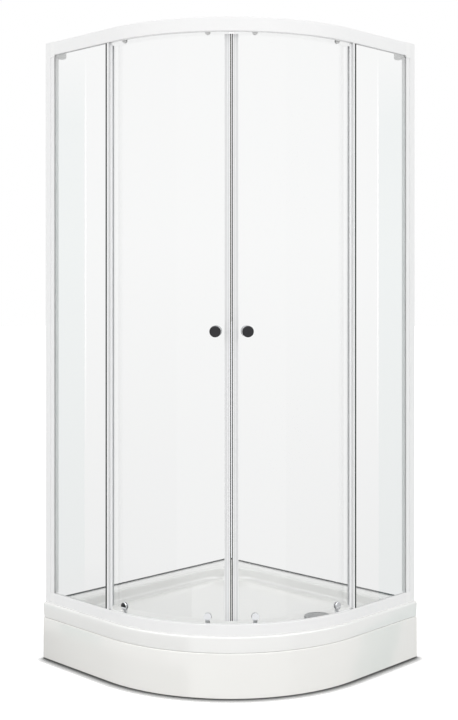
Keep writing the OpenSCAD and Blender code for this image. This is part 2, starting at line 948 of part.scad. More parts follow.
// Doors
seam_a = 45;
door_dip = 9;
door_top_gap = 1.5;
bracket_rise = 13;
hanger_drop = 10;
door_z0 = bottom_rail_z - door_dip;
door_z1 = track_z - door_top_gap;
door_lead_a = seam_a - asin(seam_gap / door_r);
bracket_z = bottom_rail_z + bracket_rise;
hanger_z = door_z1 - hanger_drop;
stud_hole_r = 5;

module door_glass() {
    difference() {
        translate([arc_x, arc_y, door_z0])
            rotate([0, 0, -90 - door_tail_a])
                rotate_extrude(angle = door_lead_a + door_tail_a, $fn = 144)
                    translate([door_r - glass_t / 2, 0])
                        square([glass_t, door_z1 - door_z0]);
        for (a = [roller_a, roller_b]) {
            glass_hole(a, hanger_z, stud_hole_r);
            glass_hole(a, bracket_z, stud_hole_r);
        }
        glass_hole(knob_a, knob_z, stud_hole_r);
    }
}

module glass_hole(a, z, r) {
    at_curve(a, door_d)
        translate([0, glass_t, z]) rotate([90, 0, 0]) cylinder(h = 2 * glass_t, r = r);
}

module door_glass_left() {
    color(clear_glass) door_glass();
}

module door_glass_right() {
    color(clear_glass) right_hand() door_glass();
}

// Magnetic seal on the leading edge: a clear holder with a black strip
holder_leg = 14;
magnet_t = 4;
magnet_w = 9.6;
seam_half = 0.8;
holder_end_gap = 3;
holder_z0 = bottom_rail_z + holder_end_gap;
holder_z1 = top_rail_z - holder_end_gap;
door_seal_gap = 0.6;
holder_edge = 0.4;
pocket_play = 0.1;
pocket_wall = 1;

module at_seam() {
    translate([arc_x, arc_y, 0]) rotate([0, 0, seam_a]) translate([0, -door_r, 0]) children();
}

module magnet_holder() {
    // outer and inner face of the legs, the edge of the glass's slot and the pocket
    a = -glass_t / 2 - seal_gap;
    b = glass_t / 2 + seal_gap + door_seal_gap;
    x_edge = -seam_gap + holder_edge;
    x_leg = x_edge - holder_leg;
    x_face = -seam_half - holder_edge;
    x_pocket = -seam_half - magnet_t - pocket_play;
    p = magnet_w / 2 + pocket_play;
    w = magnet_w / 2 + pocket_wall;
    at_seam()
        translate([0, 0, holder_z0])
            linear_extrude(holder_z1 - holder_z0)
                polygon([
                    [x_leg, a - seal_t], [x_edge, a - seal_t], [x_edge, -w], [x_face, -w],
                    [x_face, -p], [x_pocket, -p], [x_pocket, p], [x_face, p],
                    [x_face, w], [x_edge, w], [x_edge, b + seal_t], [x_leg, b + seal_t],
                    [x_leg, b], [x_edge - seal_gap, b], [x_edge - seal_gap, a], [x_leg, a]
                ]);
}

module magnet_strip() {
    at_seam()
        box(-seam_half - magnet_t, -seam_half, -magnet_w / 2, magnet_w / 2,
            holder_z0, holder_z1);
}

module magnet_holder_left() {
    color(clear_seal) magnet_holder();
}

module magnet_holder_right() {
    color(clear_seal) right_hand() magnet_holder();
}

module magnet_strip_left() {
    color(black_plastic) magnet_strip();
}

module magnet_strip_right() {
    color(black_plastic) right_hand() magnet_strip();
}

// Clear seal on the trailing edge, with a fin that reaches towards the fixed pane
tail_leg = 9;
tail_fin = 14;
tail_fin_t = 1.2;
tail_fin_lean = 2;
tail_root = 0.5;

module tail_seal() {
    y = glass_t / 2 + seal_gap;
    x = seal_gap + seal_t;
    at_curve(-door_tail_a, door_d)
        translate([0, 0, holder_z0])
            linear_extrude(holder_z1 - holder_z0)
                polygon([
                    [tail_leg, -y], [-seal_gap, -y], [-seal_gap, y], [tail_leg, y],
                    [tail_leg, y + seal_t], [-x, y + seal_t], [-x, -y - tail_fin_lean],
                    [tail_fin_lean, -y - tail_fin], [tail_fin_lean + tail_fin_t, -y - tail_fin],
                    [seal_t + tail_root, -y - seal_t], [tail_leg, -y - seal_t]
                ]);
}

module tail_seal_left() {
    color(clear_seal) tail_seal();
}

module tail_seal_right() {
    color(clear_seal) right_hand() tail_seal();
}

// Knobs, one each side of the glass on a common stud
washer_t = 1.2;
washer_edge = 2;
glass_play = 0.2;
knob_neck_r = 8;
knob_neck = 11;
knob_head = 15;
knob_edge = 3;
knob_foot = 1.5;
knob_foot_t = 2;
knob_flare = 5;
knob_socket = 6;
stud_r = 3;
stud_play = 0.1;
stud_end_gap = 0.5;

module knob_body() {
    r = knob_d / 2;
    z1 = knob_neck + knob_head;
    rotate_extrude($fn = 64)
        polygon(concat(
            [[0, knob_socket], [stud_r + stud_play, knob_socket], [stud_r + stud_play, 0]],
            [[knob_neck_r + knob_foot, 0], [knob_neck_r + knob_foot, knob_foot_t]],
            arc([knob_neck_r + knob_flare, knob_foot_t + knob_flare], knob_flare, 225, 180, 3),
            [[knob_neck_r, knob_neck]],
            arc([r - knob_edge, knob_neck + knob_edge], knob_edge, -90, 0, 4),
            arc([r - knob_edge, z1 - knob_edge], knob_edge, 0, 90, 4),
            [[0, z1]]
        ));
}

// Turned so that local +Z points out of the glass, outwards or inwards
module on_glass(a, z, inwards) {
    at_curve(a, door_d)
        translate([0, 0, z])
            rotate([inwards ? -90 : 90, 0, 0])
                translate([0, 0, glass_t / 2 + glass_play]) children();
}

module outer_knob() {
    on_glass(knob_a, knob_z, false) translate([0, 0, washer_t]) knob_body();
}

module inner_knob() {
    on_glass(knob_a, knob_z, true) translate([0, 0, washer_t]) knob_body();
}

// Stud with its two clear washers
module knob_stud() {
    at_curve(knob_a, door_d)
        translate([0, 0, knob_z])
            rotate([90, 0, 0])
                cylinder(h = 2 * (glass_t / 2 + glass_play + washer_t + knob_socket - stud_end_gap),
                    r = stud_r, center = true);
    for (inwards = [true, false])
        on_glass(knob_a, knob_z, inwards)
            difference() {
                cylinder(h = washer_t, r = knob_neck_r + washer_edge);
                translate([0, 0, -over]) cylinder(h = washer_t + 2 * over, r = stud_r + stud_play);
            }
}

module outer_knob_left() {
    color(black_plastic) outer_knob();
}

module outer_knob_right() {
    color(black_plastic) right_hand() outer_knob();
}

module inner_knob_left() {
    color(chrome) inner_knob();
}

module inner_knob_right() {
    color(chrome) right_hand() inner_knob();
}

module knob_stud_left() {
    color(chrome) knob_stud();
}

module knob_stud_right() {
    color(chrome) right_hand() knob_stud();
}

// Upper hangers: a plate clamped inside the glass carries a roller above its edge
hanger_w = 16;
hanger_t = 3;
hanger_edge = 0.5;
hanger_rise = 6;
clamp_t = 2;
clamp_slope = 1;
clamp_play = 0.4;
pin_play = 0.4;
pin_root = 1;
axle_collar = 2;
axle_head_t = 1.2;
wheel_side_play = 0.4;
collar_play = 0.3;
axle_root = 0.5;
axle_end = wheel_out + wheel_w / 2 + wheel_side_play + axle_head_t;

// Axle from local depth y outwards, with a head that keeps the roller on
module outward_axle(a, z, y) {
    at_curve(a, door_d) {
        translate([0, y, z]) rotate([90, 0, 0]) cylinder(h = y + axle_end, r = axle_r);
        translate([0, axle_head_t - axle_end, z])
            rotate([90, 0, 0]) cylinder(h = axle_head_t, r = axle_r + axle_collar);
        translate([0, y - axle_root, z])
            rotate([90, 0, 0])
                cylinder(h = y - axle_root + wheel_out - wheel_w / 2 - collar_play,
                    r = axle_r + axle_collar);
    }
}

// Plate against the inside of the glass, its pin through the hole and its outer clamp
module clamp_plate(a, z_hole, z_end, r, w, t, out_t) {
    y0 = glass_t / 2 + clamp_play;
    at_curve(a, door_d) {
        translate([0, y0 + t, 0])
            rotate([90, 0, 0])
                linear_extrude(t) {
                    translate([0, z_hole]) circle(r = r);
                    rect(-w / 2, w / 2, min(z_hole, z_end), max(z_hole, z_end));
                }
        translate([0, y0 + pin_root, z_hole])
            rotate([90, 0, 0]) cylinder(h = 2 * y0 + pin_root, r = stud_hole_r - pin_play);
        translate([0, -glass_t / 2 - glass_play, z_hole])
            rotate([90, 0, 0]) cylinder(h = out_t, r1 = r, r2 = r - clamp_slope);
    }
}

module upper_hanger(a) {
    clamp_plate(a, hanger_z, top_axle_z + hanger_rise, hanger_w / 2 + hanger_edge, hanger_w,
        hanger_t, clamp_t);
    outward_axle(a, top_axle_z, glass_t / 2 + clamp_play + hanger_t);
}

module upper_hangers() {
    for (a = [roller_a, roller_b]) upper_hanger(a);
}

module upper_hangers_left() {
    color(grey_metal) upper_hangers();
}

module upper_hangers_right() {
    color(grey_metal) right_hand() upper_hangers();
}

// Lower brackets: an arm inside the glass carries the roller, a round cap clamps it
bracket_r = 12.5;
bracket_t = 4;
arm_w = 14;
arm_drop = 5;

module lower_bracket(a) {
    clamp_plate(a, bracket_z, low_axle_z - arm_drop, bracket_r, arm_w, bracket_t, bracket_t);
    outward_axle(a, low_axle_z, glass_t / 2 + clamp_play + bracket_t);
}

module lower_brackets() {
    for (a = [roller_a, roller_b]) lower_bracket(a);
}

module lower_brackets_left() {
    color(grey_metal) lower_brackets();
}

module lower_brackets_right() {
    color(grey_metal) right_hand() lower_brackets();
}

// Rollers with a grooved tread and a shallow recess in each face
axle_gap = 0.06;
hub_t = 2.5;
rim_t = 2.5;
face_dip = 1;

module wheel(a, z, r) {
    w = wheel_w / 2;
    bore = axle_r + axle_gap;
    hub = bore + hub_t;
    rim = r - rim_t;
    at_curve(a, door_d)
        translate([0, -wheel_out, z])
            rotate([90, 0, 0])
                rotate_extrude($fn = 64)
                    polygon([
                        [bore, -w], [hub, -w], [hub, face_dip - w], [rim, face_dip - w],
                        [rim, -w], [r, -w], [r, -w / 2], [r - groove, 0], [r, w / 2],
                        [r, w], [rim, w], [rim, w - face_dip], [hub, w - face_dip],
                        [hub, w], [bore, w]
                    ]);
}

module top_wheel_tail_left() {
    color(white_plastic) wheel(roller_a, top_axle_z, top_wheel_r);
}

module top_wheel_tail_right() {
    color(white_plastic) right_hand() wheel(roller_a, top_axle_z, top_wheel_r);
}

module top_wheel_lead_left() {
    color(white_plastic) wheel(roller_b, top_axle_z, top_wheel_r);
}

module top_wheel_lead_right() {
    color(white_plastic) right_hand() wheel(roller_b, top_axle_z, top_wheel_r);
}

module low_wheel_tail_left() {
    color(white_plastic) wheel(roller_a, low_axle_z, low_wheel_r);
}

module low_wheel_tail_right() {
    color(white_plastic) right_hand() wheel(roller_a, low_axle_z, low_wheel_r);
}

module low_wheel_lead_left() {
    color(white_plastic) wheel(roller_b, low_axle_z, low_wheel_r);
}

module low_wheel_lead_right() {
    color(white_plastic) right_hand() wheel(roller_b, low_axle_z, low_wheel_r);
}

tray_shell();
front_apron();
apron_clips();
support_bars();
foot_pads();
foot_bolts();
foot_nuts();
waste_body();
waste_gasket();
waste_ring();
waste_cover();
wall_profile_left();
wall_profile_right();
frame_profile_left();
frame_profile_right();
fixed_glass_left();
fixed_glass_right();
fixed_seal_left();
fixed_seal_right();
top_rail();
bottom_rail();
corner_connectors();
connector_screws();
frame_screws();
screw_caps();
rail_infill();
upper_track_left();
upper_track_right();
lower_track_left();
lower_track_right();
door_stops();
door_glass_left();
door_glass_right();
magnet_holder_left();
magnet_holder_right();
magnet_strip_left();
magnet_strip_right();
tail_seal_left();
tail_seal_right();
outer_knob_left();
outer_knob_right();
inner_knob_left();
inner_knob_right();
knob_stud_left();
knob_stud_right();
upper_hangers_left();
upper_hangers_right();
lower_brackets_left();
lower_brackets_right();
top_wheel_tail_left();
top_wheel_tail_right();
top_wheel_lead_left();
top_wheel_lead_right();
low_wheel_tail_left();
low_wheel_tail_right();
low_wheel_lead_left();
low_wheel_lead_right();
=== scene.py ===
import json
import math

import bmesh
import bpy
from bpy.props import FloatProperty, FloatVectorProperty, IntProperty, PointerProperty
from bpy.types import Operator, Panel, PropertyGroup
from mathutils import Matrix, Vector


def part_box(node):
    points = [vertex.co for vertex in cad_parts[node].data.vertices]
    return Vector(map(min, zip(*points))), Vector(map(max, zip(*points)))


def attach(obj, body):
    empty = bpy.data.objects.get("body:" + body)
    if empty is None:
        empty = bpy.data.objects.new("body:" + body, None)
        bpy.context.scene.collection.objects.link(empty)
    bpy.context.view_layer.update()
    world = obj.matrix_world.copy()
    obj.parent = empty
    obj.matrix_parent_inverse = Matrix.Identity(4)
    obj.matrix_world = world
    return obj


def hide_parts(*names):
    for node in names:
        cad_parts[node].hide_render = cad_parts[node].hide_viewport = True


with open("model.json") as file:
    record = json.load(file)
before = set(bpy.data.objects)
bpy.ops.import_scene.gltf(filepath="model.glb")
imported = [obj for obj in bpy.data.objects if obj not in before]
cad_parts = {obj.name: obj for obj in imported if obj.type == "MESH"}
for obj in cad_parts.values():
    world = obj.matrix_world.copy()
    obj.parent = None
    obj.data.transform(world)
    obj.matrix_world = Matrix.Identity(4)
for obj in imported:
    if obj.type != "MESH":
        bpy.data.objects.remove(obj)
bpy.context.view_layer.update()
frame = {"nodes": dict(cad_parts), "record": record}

bl_info = {
    "name": "Corner Shower Enclosure",
    "version": (1, 0, 0),
    "blender": (4, 5, 0),
    "location": "3D View > Sidebar > Shower",
    "description": "Models the tray, apron, knobs and fittings of a corner shower "
                   "and finishes every part",
    "category": "Object",
}

TRAY_LO, TRAY_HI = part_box("tray_shell")
APRON_LO, APRON_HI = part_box("front_apron")
COVER_LO, COVER_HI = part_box("waste_cover")
WASTE = Vector(((COVER_LO.x + COVER_HI.x) / 2, (COVER_LO.y + COVER_HI.y) / 2, 0))
SIDES = ("left", "right")

# A point counts as on a line or plane within NEAR metres, or within TOUCH where others lie
# close to it. A normal counts as along an axis where their cosine is more than ALIGNED.
NEAR, TOUCH, ALIGNED = 0.001, 0.0001, 0.9995
SMOOTH_ANGLE = math.radians(35)
ROUND_STEPS = 96


class TrayProps(PropertyGroup):
    """Sizes of the moulded tray and its apron."""

    front_radius: FloatProperty(
        name="Front radius", description="Radius of the curved front at the tray's edge",
        default=0.55, unit="LENGTH")
    front_steps: IntProperty(
        name="Front steps", description="Flat steps along the curved front", default=72)
    lip_round: FloatProperty(
        name="Lip round", description="Radius of the tray's top front edge",
        default=0.007, unit="LENGTH")
    front_ledge: FloatProperty(
        name="Front ledge", description="Width of the ledge under the glass",
        default=0.068, unit="LENGTH")
    back_ledge: FloatProperty(
        name="Back ledge", description="Width of the ledge along the walls",
        default=0.060, unit="LENGTH")
    back_radius: FloatProperty(
        name="Back radius", description="Radius of the basin's back corner",
        default=0.150, unit="LENGTH")
    corner_radius: FloatProperty(
        name="Corner radius", description="Radius of the basin's two small corners",
        default=0.045, unit="LENGTH")
    basin_depth: FloatProperty(
        name="Basin depth", description="Depth of the basin below the ledge",
        default=0.040, unit="LENGTH")
    edge_round: FloatProperty(
        name="Edge round", description="Radius where the ledge turns down into the basin",
        default=0.008, unit="LENGTH")
    cove: FloatProperty(
        name="Cove", description="Radius where the basin's wall meets its floor",
        default=0.022, unit="LENGTH")
    draft: FloatProperty(
        name="Draft", description="Slope of the basin's wall from upright",
        default=math.radians(12), subtype="ANGLE")
    wall: FloatProperty(
        name="Wall", description="Thickness of the moulding", default=0.005, unit="LENGTH")
    lip_lean: FloatProperty(
        name="Lip lean", description="How far the lip's lower edge stands behind its face",
        default=0.003, unit="LENGTH")
    apron_wall: FloatProperty(
        name="Apron wall", description="Thickness of the apron", default=0.004, unit="LENGTH")
    apron_return: FloatProperty(
        name="Apron return", description="Width of the apron's folded edges",
        default=0.016, unit="LENGTH")
    apron_shoulder: FloatProperty(
        name="Apron shoulder", description="Radius of the apron's upper fold",
        default=0.0042, unit="LENGTH")
    apron_foot: FloatProperty(
        name="Apron foot", description="Radius of the apron's lower fold",
        default=0.0041, unit="LENGTH")


class WasteProps(PropertyGroup):
    """Sizes of the waste's recess and cover."""

    dish_radius: FloatProperty(
        name="Dish radius", description="Radius of the dish round the waste",
        default=0.100, unit="LENGTH")
    dish_depth: FloatProperty(
        name="Dish depth", description="Depth of the dish", default=0.0025, unit="LENGTH")
    seat_radius: FloatProperty(
        name="Seat radius", description="Radius of the seat for the waste's flange",
        default=0.045, unit="LENGTH")
    seat_depth: FloatProperty(
        name="Seat depth", description="Depth of that seat", default=0.004, unit="LENGTH")
    hole_radius: FloatProperty(
        name="Hole radius", description="Radius of the hole through the tray",
        default=0.038, unit="LENGTH")
    cover_rim: FloatProperty(
        name="Cover rim", description="Height of the cover's rolled rim",
        default=0.003, unit="LENGTH")


class KnobProps(PropertyGroup):
    """Sizes of the door knobs."""

    head_radius: FloatProperty(
        name="Head radius", description="Radius of a knob's head", default=0.018, unit="LENGTH")
    neck_radius: FloatProperty(
        name="Neck radius", description="Radius of a knob's neck", default=0.008, unit="LENGTH")
    neck_length: FloatProperty(
        name="Neck length", description="Length of a knob's neck", default=0.011, unit="LENGTH")
    head_length: FloatProperty(
        name="Head length", description="Length of a knob's head", default=0.015, unit="LENGTH")
    edge_round: FloatProperty(
        name="Edge round", description="Radius of the head's edges", default=0.003, unit="LENGTH")


class ShadowStripProps(PropertyGroup):
    """Sizes of the dark strip along the walls, which paints the shadow where the tray meets the wall.
    """

    height: FloatProperty(
        name="Height", description="Height of the strip above the ledge",
        default=0.0042, unit="LENGTH")
    thickness: FloatProperty(
        name="Thickness", description="Thickness of the strip", default=0.003, unit="LENGTH")
    start: FloatProperty(
        name="Start", description="Where the strip starts, behind the tray's front edge",
        default=0.040, unit="LENGTH")
    edge: FloatProperty(
        name="Edge", description="Radius of the strip's edges", default=0.0006, unit="LENGTH")


class FinishProps(PropertyGroup):
    """Colours of the finishes."""

    acrylic: FloatVectorProperty(
        name="Tray", description="Colour of the tray's acrylic", subtype="COLOR", size=3,
        default=(0.885, 0.885, 0.87))
    apron: FloatVectorProperty(
        name="Apron", description="Colour of the apron's acrylic", subtype="COLOR", size=3,
        default=(0.885, 0.88, 0.855))
    frame_coat: FloatVectorProperty(
        name="Frame", description="Colour of the powder coat on the profiles", subtype="COLOR",
        size=3, default=(0.875, 0.875, 0.875))
    glass: FloatVectorProperty(
        name="Glass", description="Tint of the panes", subtype="COLOR", size=3,
        default=(0.968, 0.9727, 0.971))
    seal: FloatVectorProperty(
        name="Seals", description="Colour of the clear seals", subtype="COLOR", size=3,
        default=(0.93, 0.935, 0.94))
    chrome: FloatVectorProperty(
        name="Chrome", description="Colour of the chromed fittings", subtype="COLOR", size=3,
        default=(0.80, 0.81, 0.83))
    dark_chrome: FloatVectorProperty(
        name="Dark chrome", description="Colour of the outer knobs", subtype="COLOR", size=3,
        default=(0.025, 0.025, 0.028))


class StageProps(PropertyGroup):
    """Camera, floor and lamps."""

    lens: FloatProperty(
        name="Lens", description="Focal length on a 36 mm sensor, in millimetres", default=58.23)
    eye_height: FloatProperty(
        name="Eye height", description="Height of the camera above the floor",
        default=1.251, unit="LENGTH")
    distance: FloatProperty(
        name="Distance", description="Distance from the back corner to the camera's plane",
        default=4.603, unit="LENGTH")
    turn: FloatProperty(
        name="Turn", description="Direction of view, turned from +Y towards -X",
        default=math.radians(44.53), subtype="ANGLE")
    shift: FloatProperty(
        name="Shift", description="Shift of the picture down the frame", default=-0.0974)
    key_power: FloatProperty(
        name="Key power", description="Power of the large lamp at the front right",
        default=26.0, unit="POWER")
    fill_power: FloatProperty(
        name="Fill power", description="Power of the lamp at the front left",
        default=14.0, unit="POWER")
    sky: FloatProperty(
        name="Sky", description="Strength of the even light from all round", default=0.86)
    backdrop: FloatProperty(
        name="Backdrop", description="Strength of the backdrop seen through glass", default=0.97)
    ground: FloatProperty(
        name="Ground", description="Strength of the near ground seen through glass", default=0.90)
    side_low: FloatProperty(
        name="Low side light", description="Strength of the sides' gloss near the ground",
        default=0.62)
    side_high: FloatProperty(
        name="High side light", description="Strength of the sides' gloss from eye level up",
        default=0.88)
    left_dark: FloatProperty(
        name="Left dark", description="How dark the ground at the left is in gloss", default=1.0)
    overhead: FloatProperty(
        name="Overhead", description="Strength of the overhead box in gloss", default=3.0)
    screen: FloatVectorProperty(
        name="Screen", description="Colour of the tinted screens", subtype="COLOR", size=3,
        default=(0.0, 0.34, 0.31))
    shadow_reach: FloatProperty(
        name="Shadow reach", description="How far the dark contact shadow reaches",
        default=0.05, unit="LENGTH")
    floor_gain: FloatProperty(
        name="Floor gain", description="How far the floor is lifted towards white", default=1.6)


def clear_selection():
    """Leave edit mode and select nothing."""
    if bpy.context.object and bpy.context.object.mode != "OBJECT":
        bpy.ops.object.mode_set(mode="OBJECT")
    bpy.ops.object.select_all(action="DESELECT")


def start_editing(mode="FACE"):
    """Edit the active object with nothing selected in it."""
    if bpy.context.object.mode != "EDIT":
        bpy.ops.object.mode_set(mode="EDIT")
    bpy.ops.mesh.select_mode(type=mode)
    bpy.ops.mesh.select_all(action="DESELECT")


def pick(kind, test):
    """Select the edited mesh's faces, edges or verts that pass the test."""
    start_editing({"faces": "FACE", "edges": "EDGE", "verts": "VERT"}[kind])
    mesh = bpy.context.object.data
    bm = bmesh.from_edit_mesh(mesh)
    for item in getattr(bm, kind):
        if test(item):
            item.select_set(True)
    bm.select_flush_mode()
    bmesh.update_edit_mesh(mesh)


def edit_all():
    """Edit the active object with all of it selected."""
    start_editing()
    bpy.ops.mesh.select_all(action="SELECT")


def finish_editing():
    """Turn the edited mesh's normals outwards and leave edit mode."""
    bpy.ops.mesh.select_all(action="SELECT")
    bpy.ops.mesh.normals_make_consistent(inside=False)
    bpy.ops.object.mode_set(mode="OBJECT")


def facing(z):
    """A test for faces whose normal points up (z = 1) or down (z = -1)."""
    return lambda face: face.normal.z * z > ALIGNED


def middle(edge):
    """The point halfway along an edge."""
    return (edge.verts[0].co + edge.verts[1].co) / 2


def bevel(offset, segments, affect="EDGES"):
    """Round the selected edges, or the corners at the selected vertices."""
    bpy.ops.mesh.bevel(
        offset_type="OFFSET", offset=offset, segments=segments, profile=0.5, affect=affect)


def apply_transform():
    """Leave the selected objects at the origin, unturned and unscaled."""
    bpy.ops.object.transform_apply(location=True, rotation=True, scale=True)


def move_to(place):
    """Move the active object, made at the origin, and return it."""
    piece = bpy.context.object
    piece.location = place
    apply_transform()
    return piece


def add_box(corner, far_corner):
    """Add a box between two opposite corners."""
    size = [abs(s) for s in far_corner - corner]
    clear_selection()
    bpy.ops.mesh.primitive_cube_add(size=1, location=(corner + far_corner) / 2, scale=size)
    apply_transform()


def select_only(*pieces):
    """Select these objects, and make the first one active."""
    clear_selection()
    for piece in pieces:
        piece.select_set(True)
    bpy.context.view_layer.objects.active = pieces[0]


def join(pieces):
    """Make one object of several."""
    select_only(*pieces)
    bpy.ops.object.join()


def add_modifier(kind, **values):
    """Add a modifier to the active object and apply it."""
    piece = bpy.context.object
    modifier = piece.modifiers.new(kind.title(), kind)
    for name, value in values.items():
        setattr(modifier, name, value)
    bpy.ops.object.modifier_apply(modifier=modifier.name)


def round_sharp_edges(width, segments, angle):
    """Round the active object's edges that turn by more than an angle in degrees."""
    add_modifier(
        "BEVEL", width=width, segments=segments, limit_method="ANGLE",
        angle_limit=math.radians(angle))


def shape_with(piece, other, operation):
    """Unite a piece with another solid or cut that out of it, and remove the other."""
    select_only(piece)
    add_modifier("BOOLEAN", object=other, operation=operation, solver="EXACT")
    bpy.data.objects.remove(other)


def finish_piece(name, body, slot, stands_for=(), finish=None):
    """Name, smooth and dress the active object, and let it ride on its body. Its finish is
    its slot's, unless another is named."""
    piece = bpy.context.object
    apply_transform()
    bpy.ops.object.shade_smooth_by_angle(angle=SMOOTH_ANGLE)
    piece.name = name
    piece.data.name = name
    piece.data.materials.clear()
    piece.data.materials.append(finish_of(finish or slot))
    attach(piece, body)
    if stands_for:
        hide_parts(*stands_for)
    clear_selection()


def arc_centre():
    """Centre of the curved front, seen from above."""
    reach = TRAY_HI.x - TRAY_LO.x - bpy.context.scene.shower_tray.front_radius
    return Vector((TRAY_LO.x + reach, TRAY_HI.y - reach, 0))


def front_block(inset, behind, z0, z1):
    """Add a block with the tray's plan, drawn in by inset and reaching behind the walls."""
    tray = bpy.context.scene.shower_tray
    lo = Vector((TRAY_LO.x - behind, TRAY_LO.y + inset, z0))
    hi = Vector((TRAY_HI.x - inset, TRAY_HI.y + behind, z1))
    add_box(lo, hi)
    pick("edges", lambda e: all(v.co.x > hi.x - NEAR and v.co.y < lo.y + NEAR for v in e.verts))
    bevel(tray.front_radius - inset, tray.front_steps)


def pick_front_edges(level, behind):
    """Select the edges of such a block that run along its front at a height."""
    left, back = TRAY_LO.x - behind + NEAR, TRAY_HI.y + behind - NEAR
    pick("edges", lambda e: abs(middle(e).z - level) < TOUCH
         and middle(e).x > left and middle(e).y < back)


def turned(profile, segments):
    """Add a disc and draw it up ring by ring. profile is (radius, height) from the bottom."""
    clear_selection()
    radius, height = profile[0]
    bpy.ops.mesh.primitive_circle_add(
        vertices=segments, radius=radius, fill_type="NGON", location=(0, 0, height))
    apply_transform()
    edit_all()
    for r, z in profile[1:]:
        bpy.ops.mesh.extrude_region_move(TRANSFORM_OT_translate={"value": (0, 0, z - height)})
        scale = r / radius
        bpy.ops.transform.resize(value=(scale, scale, 1), center_override=(0, 0, z))
        radius, height = r, z
    finish_editing()


def arc(centre_r, centre_z, radius, start, end, steps):
    """Points of an arc in section, with angles in degrees."""
    points = []
    for k in range(steps + 1):
        a = math.radians(start + (end - start) * k / steps)
        points.append((centre_r + radius * math.cos(a), centre_z + radius * math.sin(a)))
    return points


def aim_along(direction, origin):
    """Place the active object with its own +Z along direction and its origin at a point."""
    turn = direction.to_track_quat("Z", "Y").to_matrix().to_4x4()
    bpy.context.object.matrix_world = Matrix.Translation(origin) @ turn
    apply_transform()


class Nodes:
    """A node tree being built."""

    def __init__(self, owner):
        owner.use_nodes = True
        self.tree = owner.node_tree
        self.tree.nodes.clear()

    def add(self, kind, inputs=(), **values):
        """Add a shader node, give it its values and feed its inputs."""
        node = self.tree.nodes.new(f"ShaderNode{kind}")
        for name, value in values.items():
            setattr(node, name, value)
        self.feed(node, inputs)
        return node

    def feed(self, node, inputs):
        """Set each input to its value, or link it to the output given for it."""
        for name, value in dict(inputs).items():
            if isinstance(value, bpy.types.NodeSocket):
                self.tree.links.new(value, node.inputs[name])
            else:
                node.inputs[name].default_value = value

    def combine(self, operation, *values):
        """A sum or another calculation with outputs and numbers."""
        return self.add("Math", enumerate(values), operation=operation).outputs["Value"]

    def fade(self, value, start, end, low, high):
        """Carry an output's range from start to end over to low to high."""
        mapped = self.add("MapRange", {
            "Value": value, "From Min": start, "From Max": end, "To Min": low, "To Max": high})
        return mapped.outputs["Result"]

    def ramp(self, value, steps, interpolation="LINEAR"):
        """The colour that belongs to an output's value. steps are (value, colour)."""
        made = self.add("ValToRGB", {"Fac": value})
        made.color_ramp.interpolation = interpolation
        points = made.color_ramp.elements
        while len(points) < len(steps):
            points.new(1.0)
        for point, (position, colour) in zip(points, steps):
            point.position = position
            point.color = (*colour, 1)
        return made.outputs["Color"]


# Noise keeps mostly to the middle of its range, so these parts of it are spread out
MOTTLE_RANGE = (0.35, 0.65)
SMUDGE_RANGE = (0.3, 0.7)
METAL = {"Metallic": 1.0}


class Finish(Nodes):
    """A material being built around one Principled shader."""

    def __init__(self, name, colour, roughness, sockets=()):
        self.material = bpy.data.materials.new(name)
        super().__init__(self.material)
        self.colour = colour
        self.shader = self.add("BsdfPrincipled", {
            "Base Color": (*colour, 1), "Roughness": roughness, **dict(sockets)})
        self.output = self.add("OutputMaterial", {"Surface": self.shader.outputs["BSDF"]})
        self.place = self.add("TexCoord").outputs["Object"]

    def noise(self, scale, detail, stretch):
        """Noise on the object's own coordinates, stretched along an axis."""
        place = self.add("Mapping", {"Vector": self.place, "Scale": stretch})
        texture = self.add("TexNoise", {
            "Vector": place.outputs["Vector"], "Scale": scale, "Detail": detail})
        return texture.outputs["Fac"]

    def mottle(self, scale, darker, stretch=(1, 1, 1)):
        """Vary the colour softly down to a share of itself."""
        low, high = MOTTLE_RANGE
        dark = [c * darker for c in self.colour]
        colour = self.ramp(self.noise(scale, 3.0, stretch), ((low, dark), (high, self.colour)))
        self.feed(self.shader, {"Base Color": colour})

    def smudge(self, scale, low, high, stretch=(1, 1, 1)):
        """Vary the roughness between two values."""
        wear = self.fade(self.noise(scale, 4.0, stretch), *SMUDGE_RANGE, low, high)
        self.feed(self.shader, {"Roughness": wear})

    def bump(self, scale, depth, detail=2.0, stretch=(1, 1, 1)):
        """Raise the surface by a noise of the given depth in metres."""
        raised = self.add("Bump", {
            "Height": self.noise(scale, detail, stretch), "Strength": 1.0, "Distance": depth})
        self.feed(self.shader, {"Normal": raised.outputs["Normal"]})

    def axes(self):
        """The x and y of the object's own coordinates."""
        split = self.add("SeparateXYZ", {"Vector": self.place})
        return split.outputs["X"], split.outputs["Y"]

    def stripes(self, distance, lines):
        """Sharp-edged lines across a section. lines are (distance where it starts, grey)."""
        low, high = lines[0][0], lines[-1][0] + NEAR
        steps = [
            ((start - low) / (high - low), [grey * c for c in self.colour]) for start, grey in lines]
        place = self.fade(distance, low, high, 0.0, 1.0)
        self.feed(self.shader, {"Base Color": self.ramp(place, steps, "CONSTANT")})

    def let_shadow_rays_through(self, tint):
        """Glass and clear plastic cast a light shadow."""
        path = self.add("LightPath")
        clear = self.add("BsdfTransparent", {"Color": (*tint, 1)})
        mix = self.add("MixShader", {
            0: path.outputs["Is Shadow Ray"], 1: self.shader.outputs["BSDF"],
            2: clear.outputs["BSDF"]})
        self.feed(self.output, {"Surface": mix.outputs["Shader"]})


def tray_acrylic():
    colour = bpy.context.scene.shower_finish.acrylic
    finish = Finish("tray_acrylic", colour, 0.12, {"Coat Weight": 0.8, "Coat Roughness": 0.05})
    finish.mottle(1.7, 0.985)
    finish.smudge(5.0, 0.09, 0.15)
    finish.bump(55.0, 0.00004)
    return finish.material


